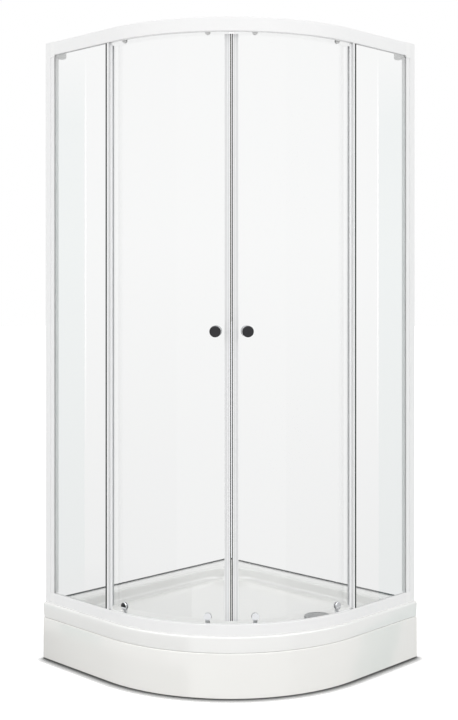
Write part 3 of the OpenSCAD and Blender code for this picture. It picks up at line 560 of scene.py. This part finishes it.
def apron_acrylic():
    colour = bpy.context.scene.shower_finish.apron
    finish = Finish("apron_acrylic", colour, 0.14, {"Coat Weight": 0.5, "Coat Roughness": 0.06})
    finish.mottle(1.3, 0.985)
    finish.smudge(4.0, 0.11, 0.18)
    finish.bump(22.0, 0.00006)
    return finish.material


def laminate():
    """Glass fibre and resin on the tray's underside."""
    finish = Finish("tray_laminate", (0.55, 0.54, 0.48), 0.55)
    finish.mottle(38.0, 0.8)
    finish.smudge(30.0, 0.4, 0.7)
    finish.bump(160.0, 0.0006, 5.0)
    return finish.material


def powder_coat():
    finish = Finish("powder_coat", bpy.context.scene.shower_finish.frame_coat, 0.34)
    finish.mottle(2.4, 0.99)
    finish.smudge(14.0, 0.30, 0.40)
    finish.bump(850.0, 0.00002)
    return finish.material


def white_moulding():
    finish = Finish("white_moulding", (0.90, 0.90, 0.895), 0.3)
    finish.mottle(9.0, 0.98)
    finish.smudge(40.0, 0.26, 0.38)
    finish.bump(420.0, 0.00003)
    return finish.material


def clear_glass():
    tint = bpy.context.scene.shower_finish.glass
    finish = Finish("clear_glass", tint, 0.0, {"IOR": 1.5, "Transmission Weight": 1.0})
    finish.mottle(1.1, 0.997)
    finish.let_shadow_rays_through((0.985, 0.995, 0.99))
    return finish.material


def clear_seal(name, distance_in, lines):
    """Clear seal with lines at distances that a function gives: clear and grey bands, painted
    highlights and dark lines of painted shade.
    """
    tint = bpy.context.scene.shower_finish.seal
    finish = Finish(name, tint, 0.2, {"IOR": 1.45, "Transmission Weight": 0.12})
    finish.stripes(distance_in(finish), lines)
    finish.smudge(24.0, 0.14, 0.28, (12, 12, 0.4))
    finish.bump(900.0, 0.00002, 1.0, (1, 1, 0.02))
    finish.let_shadow_rays_through((0.8, 0.81, 0.82))
    return finish.material


def from_seam(finish):
    """Distance from the plane in which the doors meet."""
    x, y = finish.axes()
    side = finish.combine("MULTIPLY", finish.combine("ADD", x, y), math.sqrt(0.5))
    return finish.combine("ABSOLUTE", side)


def from_wall(finish):
    """Distance along a flat pane from the wall that it starts at."""
    x, y = finish.axes()
    near = finish.combine("MINIMUM", x, finish.combine("MULTIPLY", y, -1.0))
    return finish.combine("ADD", near, -TRAY_LO.x)


def black_magnet():
    finish = Finish("black_magnet", (0.012, 0.012, 0.013), 0.45)
    finish.mottle(30.0, 0.7)
    finish.smudge(60.0, 0.38, 0.55, (8, 8, 0.3))
    finish.bump(700.0, 0.00003, 1.0, (1, 1, 0.05))
    return finish.material


def polished_chrome():
    finish = Finish("polished_chrome", bpy.context.scene.shower_finish.chrome, 0.07, METAL)
    finish.mottle(40.0, 0.97)
    finish.smudge(55.0, 0.04, 0.13)
    finish.bump(300.0, 0.000006)
    return finish.material


def dark_chrome():
    colour = bpy.context.scene.shower_finish.dark_chrome
    coat = {"Coat Weight": 0.6, "Coat Roughness": 0.04}
    finish = Finish("dark_chrome", colour, 0.09, METAL | coat)
    finish.mottle(50.0, 0.85)
    finish.smudge(70.0, 0.06, 0.16)
    finish.bump(320.0, 0.000006)
    return finish.material


def satin_grey():
    finish = Finish("satin_grey", (0.36, 0.365, 0.37), 0.3, METAL)
    finish.mottle(22.0, 0.92)
    finish.smudge(90.0, 0.24, 0.38)
    finish.bump(700.0, 0.00001)
    return finish.material


def zinc_plate():
    """Zinc plating with its pale and dark patches."""
    dark, pale = (0.38, 0.40, 0.42), (0.58, 0.60, 0.62)
    finish = Finish("zinc_plate", (0.52, 0.54, 0.56), 0.38, METAL)
    cells = finish.add("TexVoronoi", {"Vector": finish.place, "Scale": 75.0})
    grey = finish.add("RGBToBW", {"Color": cells.outputs["Color"]})
    patches = finish.ramp(grey.outputs["Val"], ((0.0, dark), (1.0, pale)))
    finish.feed(finish.shader, {"Base Color": patches})
    finish.smudge(45.0, 0.3, 0.5)
    finish.bump(240.0, 0.00004)
    return finish.material


def mill_aluminium():
    """Extruded aluminium, with its drawn lines along the track."""
    finish = Finish("mill_aluminium", (0.60, 0.61, 0.62), 0.32, METAL)
    finish.mottle(5.0, 0.93, (1, 1, 30))
    finish.smudge(6.0, 0.25, 0.42, (1, 1, 60))
    finish.bump(8.0, 0.00002, 2.0, (1, 1, 90))
    return finish.material


def white_nylon():
    depth = {"Subsurface Weight": 0.15, "Subsurface Radius": (0.002, 0.002, 0.0018)}
    finish = Finish("white_nylon", (0.74, 0.74, 0.72), 0.42, depth)
    finish.mottle(60.0, 0.95)
    finish.smudge(120.0, 0.36, 0.5)
    finish.bump(600.0, 0.00002)
    return finish.material


def dark_plastic(name, colour, roughness):
    finish = Finish(name, colour, roughness)
    finish.mottle(26.0, 0.85)
    finish.smudge(80.0, roughness - 0.06, roughness + 0.08)
    finish.bump(1100.0, 0.00005)
    return finish.material


# The seals' lines: (distance in metres where a line starts, share of the seal's colour).
# Shares above 1 are painted highlights. The dark lines stand for the magnets behind the plastic,
# and they are painted shade at the panes' edges and between the parts. The lines on the door
# seals start at the plane in which the doors meet, and the others at the wall.
DOOR_PAINTED_LINES = (
    (0.0, 1.04), (0.0015, 0.10), (0.0045, 1.04), (0.0082, 0.80), (0.0108, 1.0), (0.0130, 0.84),
    (0.0205, 1.0))
PANE_PAINTED_LINES = ((0.310, 0.03), (0.3218, 1.04), (0.3262, 0.98), (0.3290, 0.86), (0.3315, 1.0))
TAIL_PAINTED_LINES = ((0.300, 0.95), (0.3105, 1.0), (0.3125, 0.98))


def make_finishes():
    """One material for each finish of the record's slots."""
    return {
        "tray_acrylic": tray_acrylic(),
        "apron_acrylic": apron_acrylic(),
        "zinc_steel": zinc_plate(),
        "black_plastic": dark_plastic("black_plastic", (0.018, 0.018, 0.02), 0.5),
        "grey_plastic": dark_plastic("grey_plastic", (0.26, 0.265, 0.27), 0.45),
        "black_rubber": dark_plastic("black_rubber", (0.012, 0.012, 0.012), 0.72),
        "chrome_trim": polished_chrome(),
        "satin_grey": satin_grey(),
        "white_frame": powder_coat(),
        "white_plastic": white_moulding(),
        "mill_aluminium": mill_aluminium(),
        "clear_glass": clear_glass(),
        "clear_pvc": clear_seal("door_seal", from_seam, DOOR_PAINTED_LINES),
        "fixed_seal": clear_seal("pane_seal", from_wall, PANE_PAINTED_LINES),
        "tail_seal": clear_seal("tail_seal", from_wall, TAIL_PAINTED_LINES),
        # Painted shadow: the dark strip along the walls stands for the shade where the tray meets the
        # wall
        "wall_strip": dark_plastic("wall_strip", (0.10, 0.105, 0.11), 0.5),
        "black_magnet": black_magnet(),
        "black_chrome": dark_chrome(),
        "white_nylon": white_nylon(),
        "laminate": laminate(),
    }


finishes = {}


def finish_of(slot):
    """The material of a slot. All of them are made when the first is asked for."""
    if not finishes:
        finishes.update(make_finishes())
    return finishes[slot]


class SHOWER_OT_tray(Operator):
    """Model the tray's moulding and the board under its floor"""

    bl_idname = "shower.tray"
    bl_label = "Tray"

    def execute(self, context):
        tray, waste = context.scene.shower_tray, context.scene.shower_waste
        self.add_plan(tray)
        self.sink_basin(tray)
        bpy.ops.object.mode_set(mode="OBJECT")
        add_modifier("SOLIDIFY", thickness=tray.wall, offset=-1, use_even_offset=True)
        self.open_waste(tray, waste)
        finish_piece("tray_moulding", "root", "tray_acrylic", ["tray_shell"])
        self.add_board(tray, waste)
        return {"FINISHED"}

    def add_plan(self, tray):
        """The block, open below, with its front top edge rounded and its ledge drawn in."""
        front_block(0, 0, TRAY_LO.z, TRAY_HI.z)
        pick("faces", facing(z=-1))
        bpy.ops.mesh.delete(type="FACE")
        pick_front_edges(TRAY_HI.z, 0)
        bevel(tray.lip_round, 6)
        self.lean_lip(tray)
        pick("faces", facing(z=1))
        bpy.ops.mesh.inset(thickness=tray.front_ledge - tray.lip_round, use_even_offset=True)

    def lean_lip(self, tray):
        """Draw the lip's lower edge in, round the curve and at its two ends by the walls."""
        centre = arc_centre()
        low = TRAY_LO.z + TOUCH
        scale = 1 - tray.lip_lean / tray.front_radius
        pick("verts", lambda v: v.co.z < low
             and v.co.x > centre.x - NEAR and v.co.y < centre.y + NEAR)
        bpy.ops.transform.resize(
            value=(scale, scale, 1), center_override=(centre.x, centre.y, TRAY_LO.z))
        pick("verts", lambda v: v.co.z < low and v.co.x < TRAY_LO.x + NEAR and v.co.y < centre.y)
        bpy.ops.transform.translate(value=(0, tray.lip_lean, 0))
        pick("verts", lambda v: v.co.z < low and v.co.y > TRAY_HI.y - NEAR and v.co.x > centre.x)
        bpy.ops.transform.translate(value=(-tray.lip_lean, 0, 0))

    def sink_basin(self, tray):
        """Move the basin's back edges to their ledge, round its corners and draw it down."""
        x0, y1 = TRAY_LO.x + tray.back_ledge, TRAY_HI.y - tray.back_ledge
        x1, y0 = TRAY_HI.x - tray.front_ledge, TRAY_LO.y + tray.front_ledge
        top = TRAY_HI.z - TOUCH
        bm = bmesh.from_edit_mesh(bpy.context.object.data)
        inner = max((f for f in bm.faces if f.select), key=lambda f: f.calc_area())
        left = min(v.co.x for v in inner.verts)
        back = max(v.co.y for v in inner.verts)
        pick("verts", lambda v: v.co.z > top and abs(v.co.x - left) < TOUCH)
        bpy.ops.transform.translate(value=(x0 - left, 0, 0))
        pick("verts", lambda v: v.co.z > top and abs(v.co.y - back) < TOUCH)
        bpy.ops.transform.translate(value=(0, y1 - back, 0))
        for x, y, radius in (
            (x0, y1, tray.back_radius), (x0, y0, tray.corner_radius), (x1, y1, tray.corner_radius),
        ):
            corner = Vector((x, y, TRAY_HI.z))
            pick("verts", lambda v: (v.co - corner).length < NEAR)
            bevel(radius, 16, "VERTICES")
        pick("faces", lambda f: len(f.verts) > tray.front_steps and f.normal.z > ALIGNED)
        self.draw_down(tray)

    def draw_down(self, tray):
        """Carry the selected face down the basin's wall by the section of its rounds."""
        slope = math.degrees(tray.draft)
        rounds = tray.edge_round + tray.cove
        upright = tray.basin_depth - rounds * (1 - math.sin(tray.draft))
        foot = rounds * math.cos(tray.draft) + upright * math.tan(tray.draft)
        section = arc(0, -tray.edge_round, tray.edge_round, 90, slope, 6)
        section += arc(foot, tray.cove - tray.basin_depth, tray.cove, 180 + slope, 270, 9)
        for (r0, z0), (r1, z1) in zip(section, section[1:]):
            bpy.ops.mesh.inset(thickness=r1 - r0, depth=z1 - z0, use_even_offset=True)

    def open_waste(self, tray, waste):
        """Thicken the floor round the waste, and cut the dish, the seat and the hole into it."""
        moulding = bpy.context.object
        boss_wall, seat_draft, spare = 0.010, 0.0004, 0.01
        floor = TRAY_HI.z - tray.basin_depth
        seat_top = floor - waste.dish_depth
        seat = seat_top - waste.seat_depth
        boss_radius = waste.seat_radius + boss_wall
        turned([(boss_radius, TRAY_LO.z), (boss_radius, floor - NEAR)], ROUND_STEPS)
        boss = move_to(WASTE)
        turned([
            (waste.hole_radius, TRAY_LO.z - spare), (waste.hole_radius, seat),
            (waste.seat_radius - seat_draft, seat), (waste.seat_radius, seat_top),
            (waste.dish_radius, floor), (waste.dish_radius, floor + spare)], ROUND_STEPS)
        cutter = move_to(WASTE)
        shape_with(moulding, boss, "UNION")
        shape_with(moulding, cutter, "DIFFERENCE")

    def add_board(self, tray, waste):
        """The stiffening board bonded below the basin's floor."""
        margin, corner_radius, boss_room = 0.105, 0.04, 0.012
        left, back = TRAY_LO.x + margin + NEAR, TRAY_HI.y - margin - NEAR
        front_block(margin, -margin, TRAY_LO.z, TRAY_HI.z - tray.basin_depth - tray.wall)
        pick("edges", lambda e: abs(e.verts[0].co.z - e.verts[1].co.z) > NEAR
             and (middle(e).x < left or middle(e).y > back))
        bevel(corner_radius, 10)
        board = bpy.context.object
        clear_selection()
        bpy.ops.mesh.primitive_cylinder_add(
            vertices=64, radius=waste.seat_radius + boss_room, depth=0.1,
            location=(WASTE.x, WASTE.y, TRAY_LO.z))
        shape_with(board, bpy.context.object, "DIFFERENCE")
        finish_piece("tray_board", "root", "grey_plastic", finish="laminate")


class SHOWER_OT_painted_shadow_strip(Operator):
    """Model the dark strip along the walls on the tray, a painted shadow line where the tray meets
    the wall
    """

    bl_idname = "shower.wall_strip"
    bl_label = "Wall strip"

    def execute(self, context):
        strip = context.scene.shower_strip
        left = self.add_half(strip, Vector((0, -1, 0)), Vector((1, 0, 0)), 1)
        right = self.add_half(strip, Vector((1, 0, 0)), Vector((0, -1, 0)), -1)
        join([right, left])
        edit_all()
        bpy.ops.mesh.remove_doubles(threshold=TOUCH)
        finish_editing()
        round_sharp_edges(strip.edge, 3, 50)
        # The strip is painted shadow, a dark line where the tray meets the wall
        finish_piece("wall_strip", "root", "black_rubber", finish="wall_strip")
        return {"FINISHED"}

    def add_half(self, strip, along, aside, sign):
        """The strip along one wall, mitred at the corner."""
        corner = Vector((TRAY_LO.x, TRAY_HI.y, TRAY_HI.z))
        reach = TRAY_HI.x - TRAY_LO.x - strip.start
        height = Vector((0, 0, strip.height))
        add_box(corner, corner + along * reach + aside * strip.thickness + height)
        edit_all()
        bpy.ops.mesh.bisect(plane_co=corner, plane_no=(sign, sign, 0), clear_outer=True)
        bpy.ops.object.mode_set(mode="OBJECT")
        return bpy.context.object


class SHOWER_OT_apron(Operator):
    """Model the curved apron below the tray's lip"""

    bl_idname = "shower.apron"
    bl_label = "Apron"

    def execute(self, context):
        tray = context.scene.shower_tray
        spare = 0.05
        folds = ((1, APRON_HI.z, tray.apron_shoulder), (-1, APRON_LO.z, tray.apron_foot))
        front_block(0, spare, APRON_LO.z, APRON_HI.z)
        for _, level, radius in folds:
            pick_front_edges(level, spare)
            bevel(radius, 5)
        for way, _, radius in folds:
            pick("faces", facing(z=way))
            bpy.ops.mesh.inset(thickness=tray.apron_return - radius, use_even_offset=True)
            bpy.ops.mesh.delete(type="FACE")
        for corner, normal in ((TRAY_LO, (-1, 0, 0)), (TRAY_HI, (0, 1, 0))):
            edit_all()
            bpy.ops.mesh.bisect(plane_co=corner, plane_no=normal, clear_outer=True)
        finish_editing()
        add_modifier("SOLIDIFY", thickness=tray.apron_wall, offset=-1, use_even_offset=True)
        round_sharp_edges(0.0006, 2, 60)
        finish_piece("apron_panel", "root", "apron_acrylic", ["front_apron"])
        return {"FINISHED"}


# The cover's dome, from its groove to the middle: (share of the radius, share of the height)
DOME = ((0.86, 0.80), (0.84, 0.79), (0.82, 0.82), (0.6, 0.93), (0.3, 0.99), (0.02, 1.0))


class SHOWER_OT_waste_cover(Operator):
    """Model the domed cover over the waste"""

    bl_idname = "shower.waste_cover"
    bl_label = "Waste cover"

    def execute(self, context):
        waste = context.scene.shower_waste
        radius = (COVER_HI.x - COVER_LO.x) / 2
        top = COVER_HI.z - COVER_LO.z
        rim, gap = waste.cover_rim, 0.0025
        profile = [(radius * 0.6, gap), (radius - rim, gap)]
        profile += arc(radius - rim, gap + rim, rim, -60, 70, 6)
        profile += [(radius * across, top * up) for across, up in DOME]
        turned(profile, ROUND_STEPS)
        cover = move_to((WASTE.x, WASTE.y, COVER_LO.z))
        join([cover, *self.add_feet(waste, gap)])
        finish_piece("drain_cover", "waste_cover", "satin_grey", ["waste_cover"])
        return {"FINISHED"}

    def add_feet(self, waste, gap):
        """Three feet that stand on the flange, set into the cover."""
        width, depth, height, inset = 0.007, 0.006, gap + NEAR, 0.0015
        reach = waste.hole_radius + inset
        feet = []
        for turn in map(math.radians, (30, 150, 270)):
            place = Vector((reach * math.cos(turn), reach * math.sin(turn), COVER_LO.z + height / 2))
            clear_selection()
            bpy.ops.mesh.primitive_cube_add(
                size=1, scale=(width, depth, height), rotation=(0, 0, turn), location=WASTE + place)
            round_sharp_edges(0.0008, 2, 30)
            feet.append(bpy.context.object)
        return feet


# A knob's dished face, from rim to middle: (share of the head's radius, depth in metres)
KNOB_FACE = ((0.74, 0), (0.68, 0.0005), (0.62, 0.0005), (0.3, 0.0001), (0.03, 0))


class SHOWER_OT_knobs(Operator):
    """Model the knobs outside and inside the doors"""

    bl_idname = "shower.knobs"
    bl_label = "Knobs"

    def execute(self, context):
        knob = context.scene.shower_knob
        for side in SIDES:
            for place, slot, outwards in (("outer", "black_chrome", 1), ("inner", "chrome_trim", -1)):
                node = f"{place}_knob_{side}"
                self.add_knob(knob)
                self.set_on_door(node, outwards, knob.neck_length + knob.head_length)
                finish_piece(f"{place}_knob_cap_{side}", f"door_{side}", slot, [node])
        return {"FINISHED"}

    def add_knob(self, knob):
        """One knob, turned about Z, with a collar, a waisted neck and a dished face."""
        neck, head, edge = knob.neck_radius, knob.head_radius, knob.edge_round
        collar, waist = 0.0015, 0.005
        face = knob.neck_length + knob.head_length
        profile = [(neck + collar, 0), (neck + collar, collar), (neck + 0.001, 0.002)]
        profile += arc(neck + waist, collar + waist, waist, 200, 180, 2)
        profile += [(neck, knob.neck_length)]
        profile += arc(head - edge, knob.neck_length + edge, edge, -90, 0, 6)
        profile += arc(head - edge, face - edge, edge, 0, 90, 6)
        profile += [(head * across, face - depth) for across, depth in KNOB_FACE]
        turned(profile, 64)

    def set_on_door(self, node, outwards, length):
        """Stand the knob at its CAD solid, along the line from the front's centre."""
        lo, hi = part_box(node)
        centre = (lo + hi) / 2
        away = centre - arc_centre()
        away.z = 0
        direction = away.normalized() * outwards
        aim_along(direction, centre - direction * length / 2)


# Parts that don't take their slot's finish, by the first words of their name
OWN_FINISH = {"fixed_seal": "fixed_seal", "tail_seal": "tail_seal", "upper_hangers": "white_plastic"}


class SHOWER_OT_fittings(Operator):
    """Give every other part its finish"""

    bl_idname = "shower.fittings"
    bl_label = "Finish the fittings"

    def execute(self, context):
        slots = {row["node"]: row["material_slot"] for row in frame["record"]["subparts"]}
        for name, node in frame["nodes"].items():
            kind = name.rsplit("_", 1)[0]
            finish = finish_of(OWN_FINISH.get(kind, slots[name]))
            for material_slot in node.material_slots:
                material_slot.material = finish
        return {"FINISHED"}


# The floor's brightness by how open it lies: (open share, share of full)
SHADOW = ((0.56, 0.06), (0.66, 0.20), (0.74, 0.36), (0.82, 0.48), (0.90, 0.62), (0.97, 1.0))
FLOOR_GREY = 0.92

# What gloss and glass show of the studio. Angles are in degrees from straight before the
# object, and a fade goes from one height to another, as the upward share of a ray's direction.
STUDIO_TURN = 0.6
FRONT_REACH = 42
SIDE_FADE = (-0.24, 0.0)
SCREEN, SCREEN_HALF = 105.2, 8.0
SCREEN_FADE = (0.14, 0.20)
SLIT, SLIT_HALF, SLIT_GAIN = 97.15, 0.035, 1.6
SLIT_FADE = (-0.14, -0.04)
DARK_SIDE = -30
DARK_FADE = (-0.26, -0.225)
OVERHEAD_REACH = 100
OVERHEAD_FADE = (0.42, 0.60)
GROUND_FADE = (-0.24, 0.04)


class Studio(Nodes):
    """The world: white for the camera, a studio in gloss, a pale backdrop through glass, and
    an even light for all else."""

    def __init__(self, stage):
        self.world = bpy.data.worlds.new("studio")
        super().__init__(self.world)
        self.direction = self.add("TexCoord").outputs["Generated"]
        self.height = self.along((0, 0, 1))
        path = self.add("LightPath")
        ground = self.fade(self.height, *GROUND_FADE, stage.ground, stage.backdrop)
        surface = self.light(stage.sky)
        for ray, light in (
            ("Is Glossy Ray", self.gloss(stage)),
            ("Is Transmission Ray", self.light(ground)),
            ("Is Camera Ray", self.light(1.0)),
        ):
            mix = self.add("MixShader", {0: path.outputs[ray], 1: surface, 2: light})
            surface = mix.outputs["Shader"]
        self.add("OutputWorld", {"Surface": surface})

    def light(self, strength, colour=(1, 1, 1, 1)):
        """A background's light. Its strength and colour are values or outputs."""
        background = self.add("Background", {"Color": colour, "Strength": strength})
        return background.outputs["Background"]

    def along(self, axis):
        """Share of the ray's direction along an axis."""
        dot = self.add("VectorMath", {0: self.direction, 1: axis}, operation="DOT_PRODUCT")
        return dot.outputs["Value"]

    def near_angle(self, turn, angle, half):
        """1 where a turn lies within a band round an angle, 0 elsewhere."""
        return self.combine("COMPARE", turn, math.radians(angle), math.radians(half))

    def below_angle(self, turn, angle):
        """1 where a turn is less than an angle, 0 elsewhere."""
        return self.combine("LESS_THAN", turn, math.radians(angle))

    def gloss(self, stage):
        """White before the object, dimmer at its sides, and tinted screens edged with light
        beside the walls' line."""
        aside = Vector((1, 1, 0)).normalized()
        front = Vector((1, -1, 0)).normalized()
        turn = self.combine("ARCTAN2", self.along(aside), self.along(front))
        turn = self.combine("SUBTRACT", turn, math.radians(STUDIO_TURN))
        away = self.combine("ABSOLUTE", turn)

        before = self.below_angle(away, FRONT_REACH)
        dim = self.fade(self.height, *SIDE_FADE, stage.side_low, stage.side_high)
        side = self.combine("MULTIPLY", self.combine("SUBTRACT", 1.0, before), dim)
        white = self.combine("ADD", before, side)

        below = self.fade(self.height, *SCREEN_FADE, 1.0, 0.0)
        screen = self.combine("MULTIPLY", self.near_angle(away, SCREEN, SCREEN_HALF), below)
        slit = self.combine(
            "MULTIPLY", self.near_angle(away, SLIT, SLIT_HALF),
            self.fade(self.height, *SLIT_FADE, 0.0, SLIT_GAIN))
        white = self.combine("ADD", white, self.combine("MULTIPLY", slit, below))

        dark = self.fade(self.height, *DARK_FADE, stage.left_dark, 0.0)
        dark = self.combine("MULTIPLY", self.below_angle(turn, DARK_SIDE), dark)
        white = self.combine("MULTIPLY", white, self.combine("SUBTRACT", 1.0, dark))

        above = self.fade(self.height, *OVERHEAD_FADE, 0.0, 1.0)
        above = self.combine("MULTIPLY", above, self.below_angle(away, OVERHEAD_REACH))
        white = self.combine("ADD", white, self.combine("MULTIPLY", above, stage.overhead))

        # Inputs 6 and 7 and output 2 of a Mix node are for colours
        tint = self.add(
            "Mix", {0: screen, 6: (1, 1, 1, 1), 7: (*stage.screen, 1)}, data_type="RGBA")
        return self.light(white, tint.outputs[2])


def pale_floor(stage):
    """Floor that is white to the camera, with a dark seam of shadow where the object stands."""
    material = bpy.data.materials.new("pale_floor")
    nodes = Nodes(material)
    near = nodes.add("AmbientOcclusion", {"Distance": stage.shadow_reach}, samples=16)
    shade = nodes.ramp(near.outputs["AO"], [(share, [grey] * 3) for share, grey in SHADOW])
    seen = nodes.combine("MULTIPLY", shade, stage.floor_gain)
    camera_ray = nodes.add("LightPath").outputs["Is Camera Ray"]
    grey = nodes.add("Mix", {"Factor": camera_ray, "A": FLOOR_GREY, "B": seen}).outputs["Result"]
    colour = nodes.add("CombineColor", {"Red": grey, "Green": grey, "Blue": grey})
    diffuse = nodes.add("BsdfDiffuse", {"Color": colour.outputs["Color"]})
    nodes.add("OutputMaterial", {"Surface": diffuse.outputs["BSDF"]})
    return material


class SHOWER_OT_stage(Operator):
    """Add the camera, the floor, the lamps and the even light"""

    bl_idname = "shower.stage"
    bl_label = "Stage"

    def execute(self, context):
        stage = context.scene.shower_stage
        self.add_camera(stage)
        self.add_floor(stage)
        self.add_lamps(stage)
        context.scene.world = Studio(stage).world
        context.scene.view_settings.view_transform = "Standard"
        return {"FINISHED"}

    def add_camera(self, stage):
        """A level camera that looks at the back corner, with the picture shifted."""
        sideways = -0.0005
        right = Vector((math.cos(stage.turn), math.sin(stage.turn), 0))
        forward = Vector((-math.sin(stage.turn), math.cos(stage.turn), 0))
        corner = Vector((TRAY_LO.x, TRAY_HI.y, 0))
        place = corner - right * sideways - forward * stage.distance
        place.z = stage.eye_height
        bpy.ops.object.camera_add(location=place, rotation=(math.radians(90), 0, stage.turn))
        camera = bpy.context.object
        camera.name = "camera"
        camera.data.lens = stage.lens
        camera.data.sensor_width = 36
        camera.data.sensor_fit = "AUTO"
        camera.data.shift_y = stage.shift
        camera.data.clip_end = 100
        bpy.context.scene.camera = camera

    def add_floor(self, stage):
        """A wide floor that gloss and glass don't show."""
        clear_selection()
        bpy.ops.mesh.primitive_plane_add(size=60, location=(0, 0, 0))
        floor = bpy.context.object
        floor.name = "floor"
        floor.data.materials.append(pale_floor(stage))
        floor.visible_glossy = False
        floor.visible_transmission = False

    def add_lamps(self, stage):
        """A large lamp at the front right and a smaller one at the front left."""
        target = Vector((0.1, -0.1, 0.6))
        for name, power, size, place in (
            ("key_lamp", stage.key_power, 2.4, (3.4, -1.4, 2.9)),
            ("fill_lamp", stage.fill_power, 2.0, (-1.2, -3.6, 2.2)),
        ):
            clear_selection()
            bpy.ops.object.light_add(type="AREA", location=place)
            lamp = bpy.context.object
            lamp.name = name
            lamp.data.energy = power
            lamp.data.size = size
            lamp.visible_glossy = False
            lamp.visible_transmission = False
            lamp.rotation_euler = (target - Vector(place)).to_track_quat("-Z", "Y").to_euler()


class SHOWER_PT_panel(Panel):
    """Lists the shower's pieces in the sidebar"""

    bl_label = "Corner Shower"
    bl_idname = "SHOWER_PT_panel"
    bl_space_type = "VIEW_3D"
    bl_region_type = "UI"
    bl_category = "Shower"

    def draw(self, context):
        scene = context.scene
        for group in [getattr(scene, name) for name in GROUPS]:
            column = self.layout.column()
            for name in group.bl_rna.properties.keys():
                if name not in ("rna_type", "name"):
                    column.prop(group, name)
        for operator in OPERATORS:
            self.layout.operator(operator.bl_idname)


GROUPS = {
    "shower_tray": TrayProps,
    "shower_waste": WasteProps,
    "shower_knob": KnobProps,
    "shower_strip": ShadowStripProps,
    "shower_finish": FinishProps,
    "shower_stage": StageProps,
}
OPERATORS = (
    SHOWER_OT_tray,
    SHOWER_OT_painted_shadow_strip,
    SHOWER_OT_apron,
    SHOWER_OT_waste_cover,
    SHOWER_OT_knobs,
    SHOWER_OT_fittings,
    SHOWER_OT_stage,
)


def register():
    for cls in (*GROUPS.values(), *OPERATORS, SHOWER_PT_panel):
        bpy.utils.register_class(cls)
    for name, group in GROUPS.items():
        setattr(bpy.types.Scene, name, PointerProperty(type=group))


def unregister():
    for name in GROUPS:
        delattr(bpy.types.Scene, name)
    for cls in (SHOWER_PT_panel, *reversed(OPERATORS), *reversed(tuple(GROUPS.values()))):
        bpy.utils.unregister_class(cls)


def main():
    """Make every piece and the stage."""
    register()
    bpy.ops.shower.tray()
    bpy.ops.shower.wall_strip()
    bpy.ops.shower.apron()
    bpy.ops.shower.waste_cover()
    bpy.ops.shower.knobs()
    bpy.ops.shower.fittings()
    bpy.ops.shower.stage()


if __name__ == "__main__":
    main()
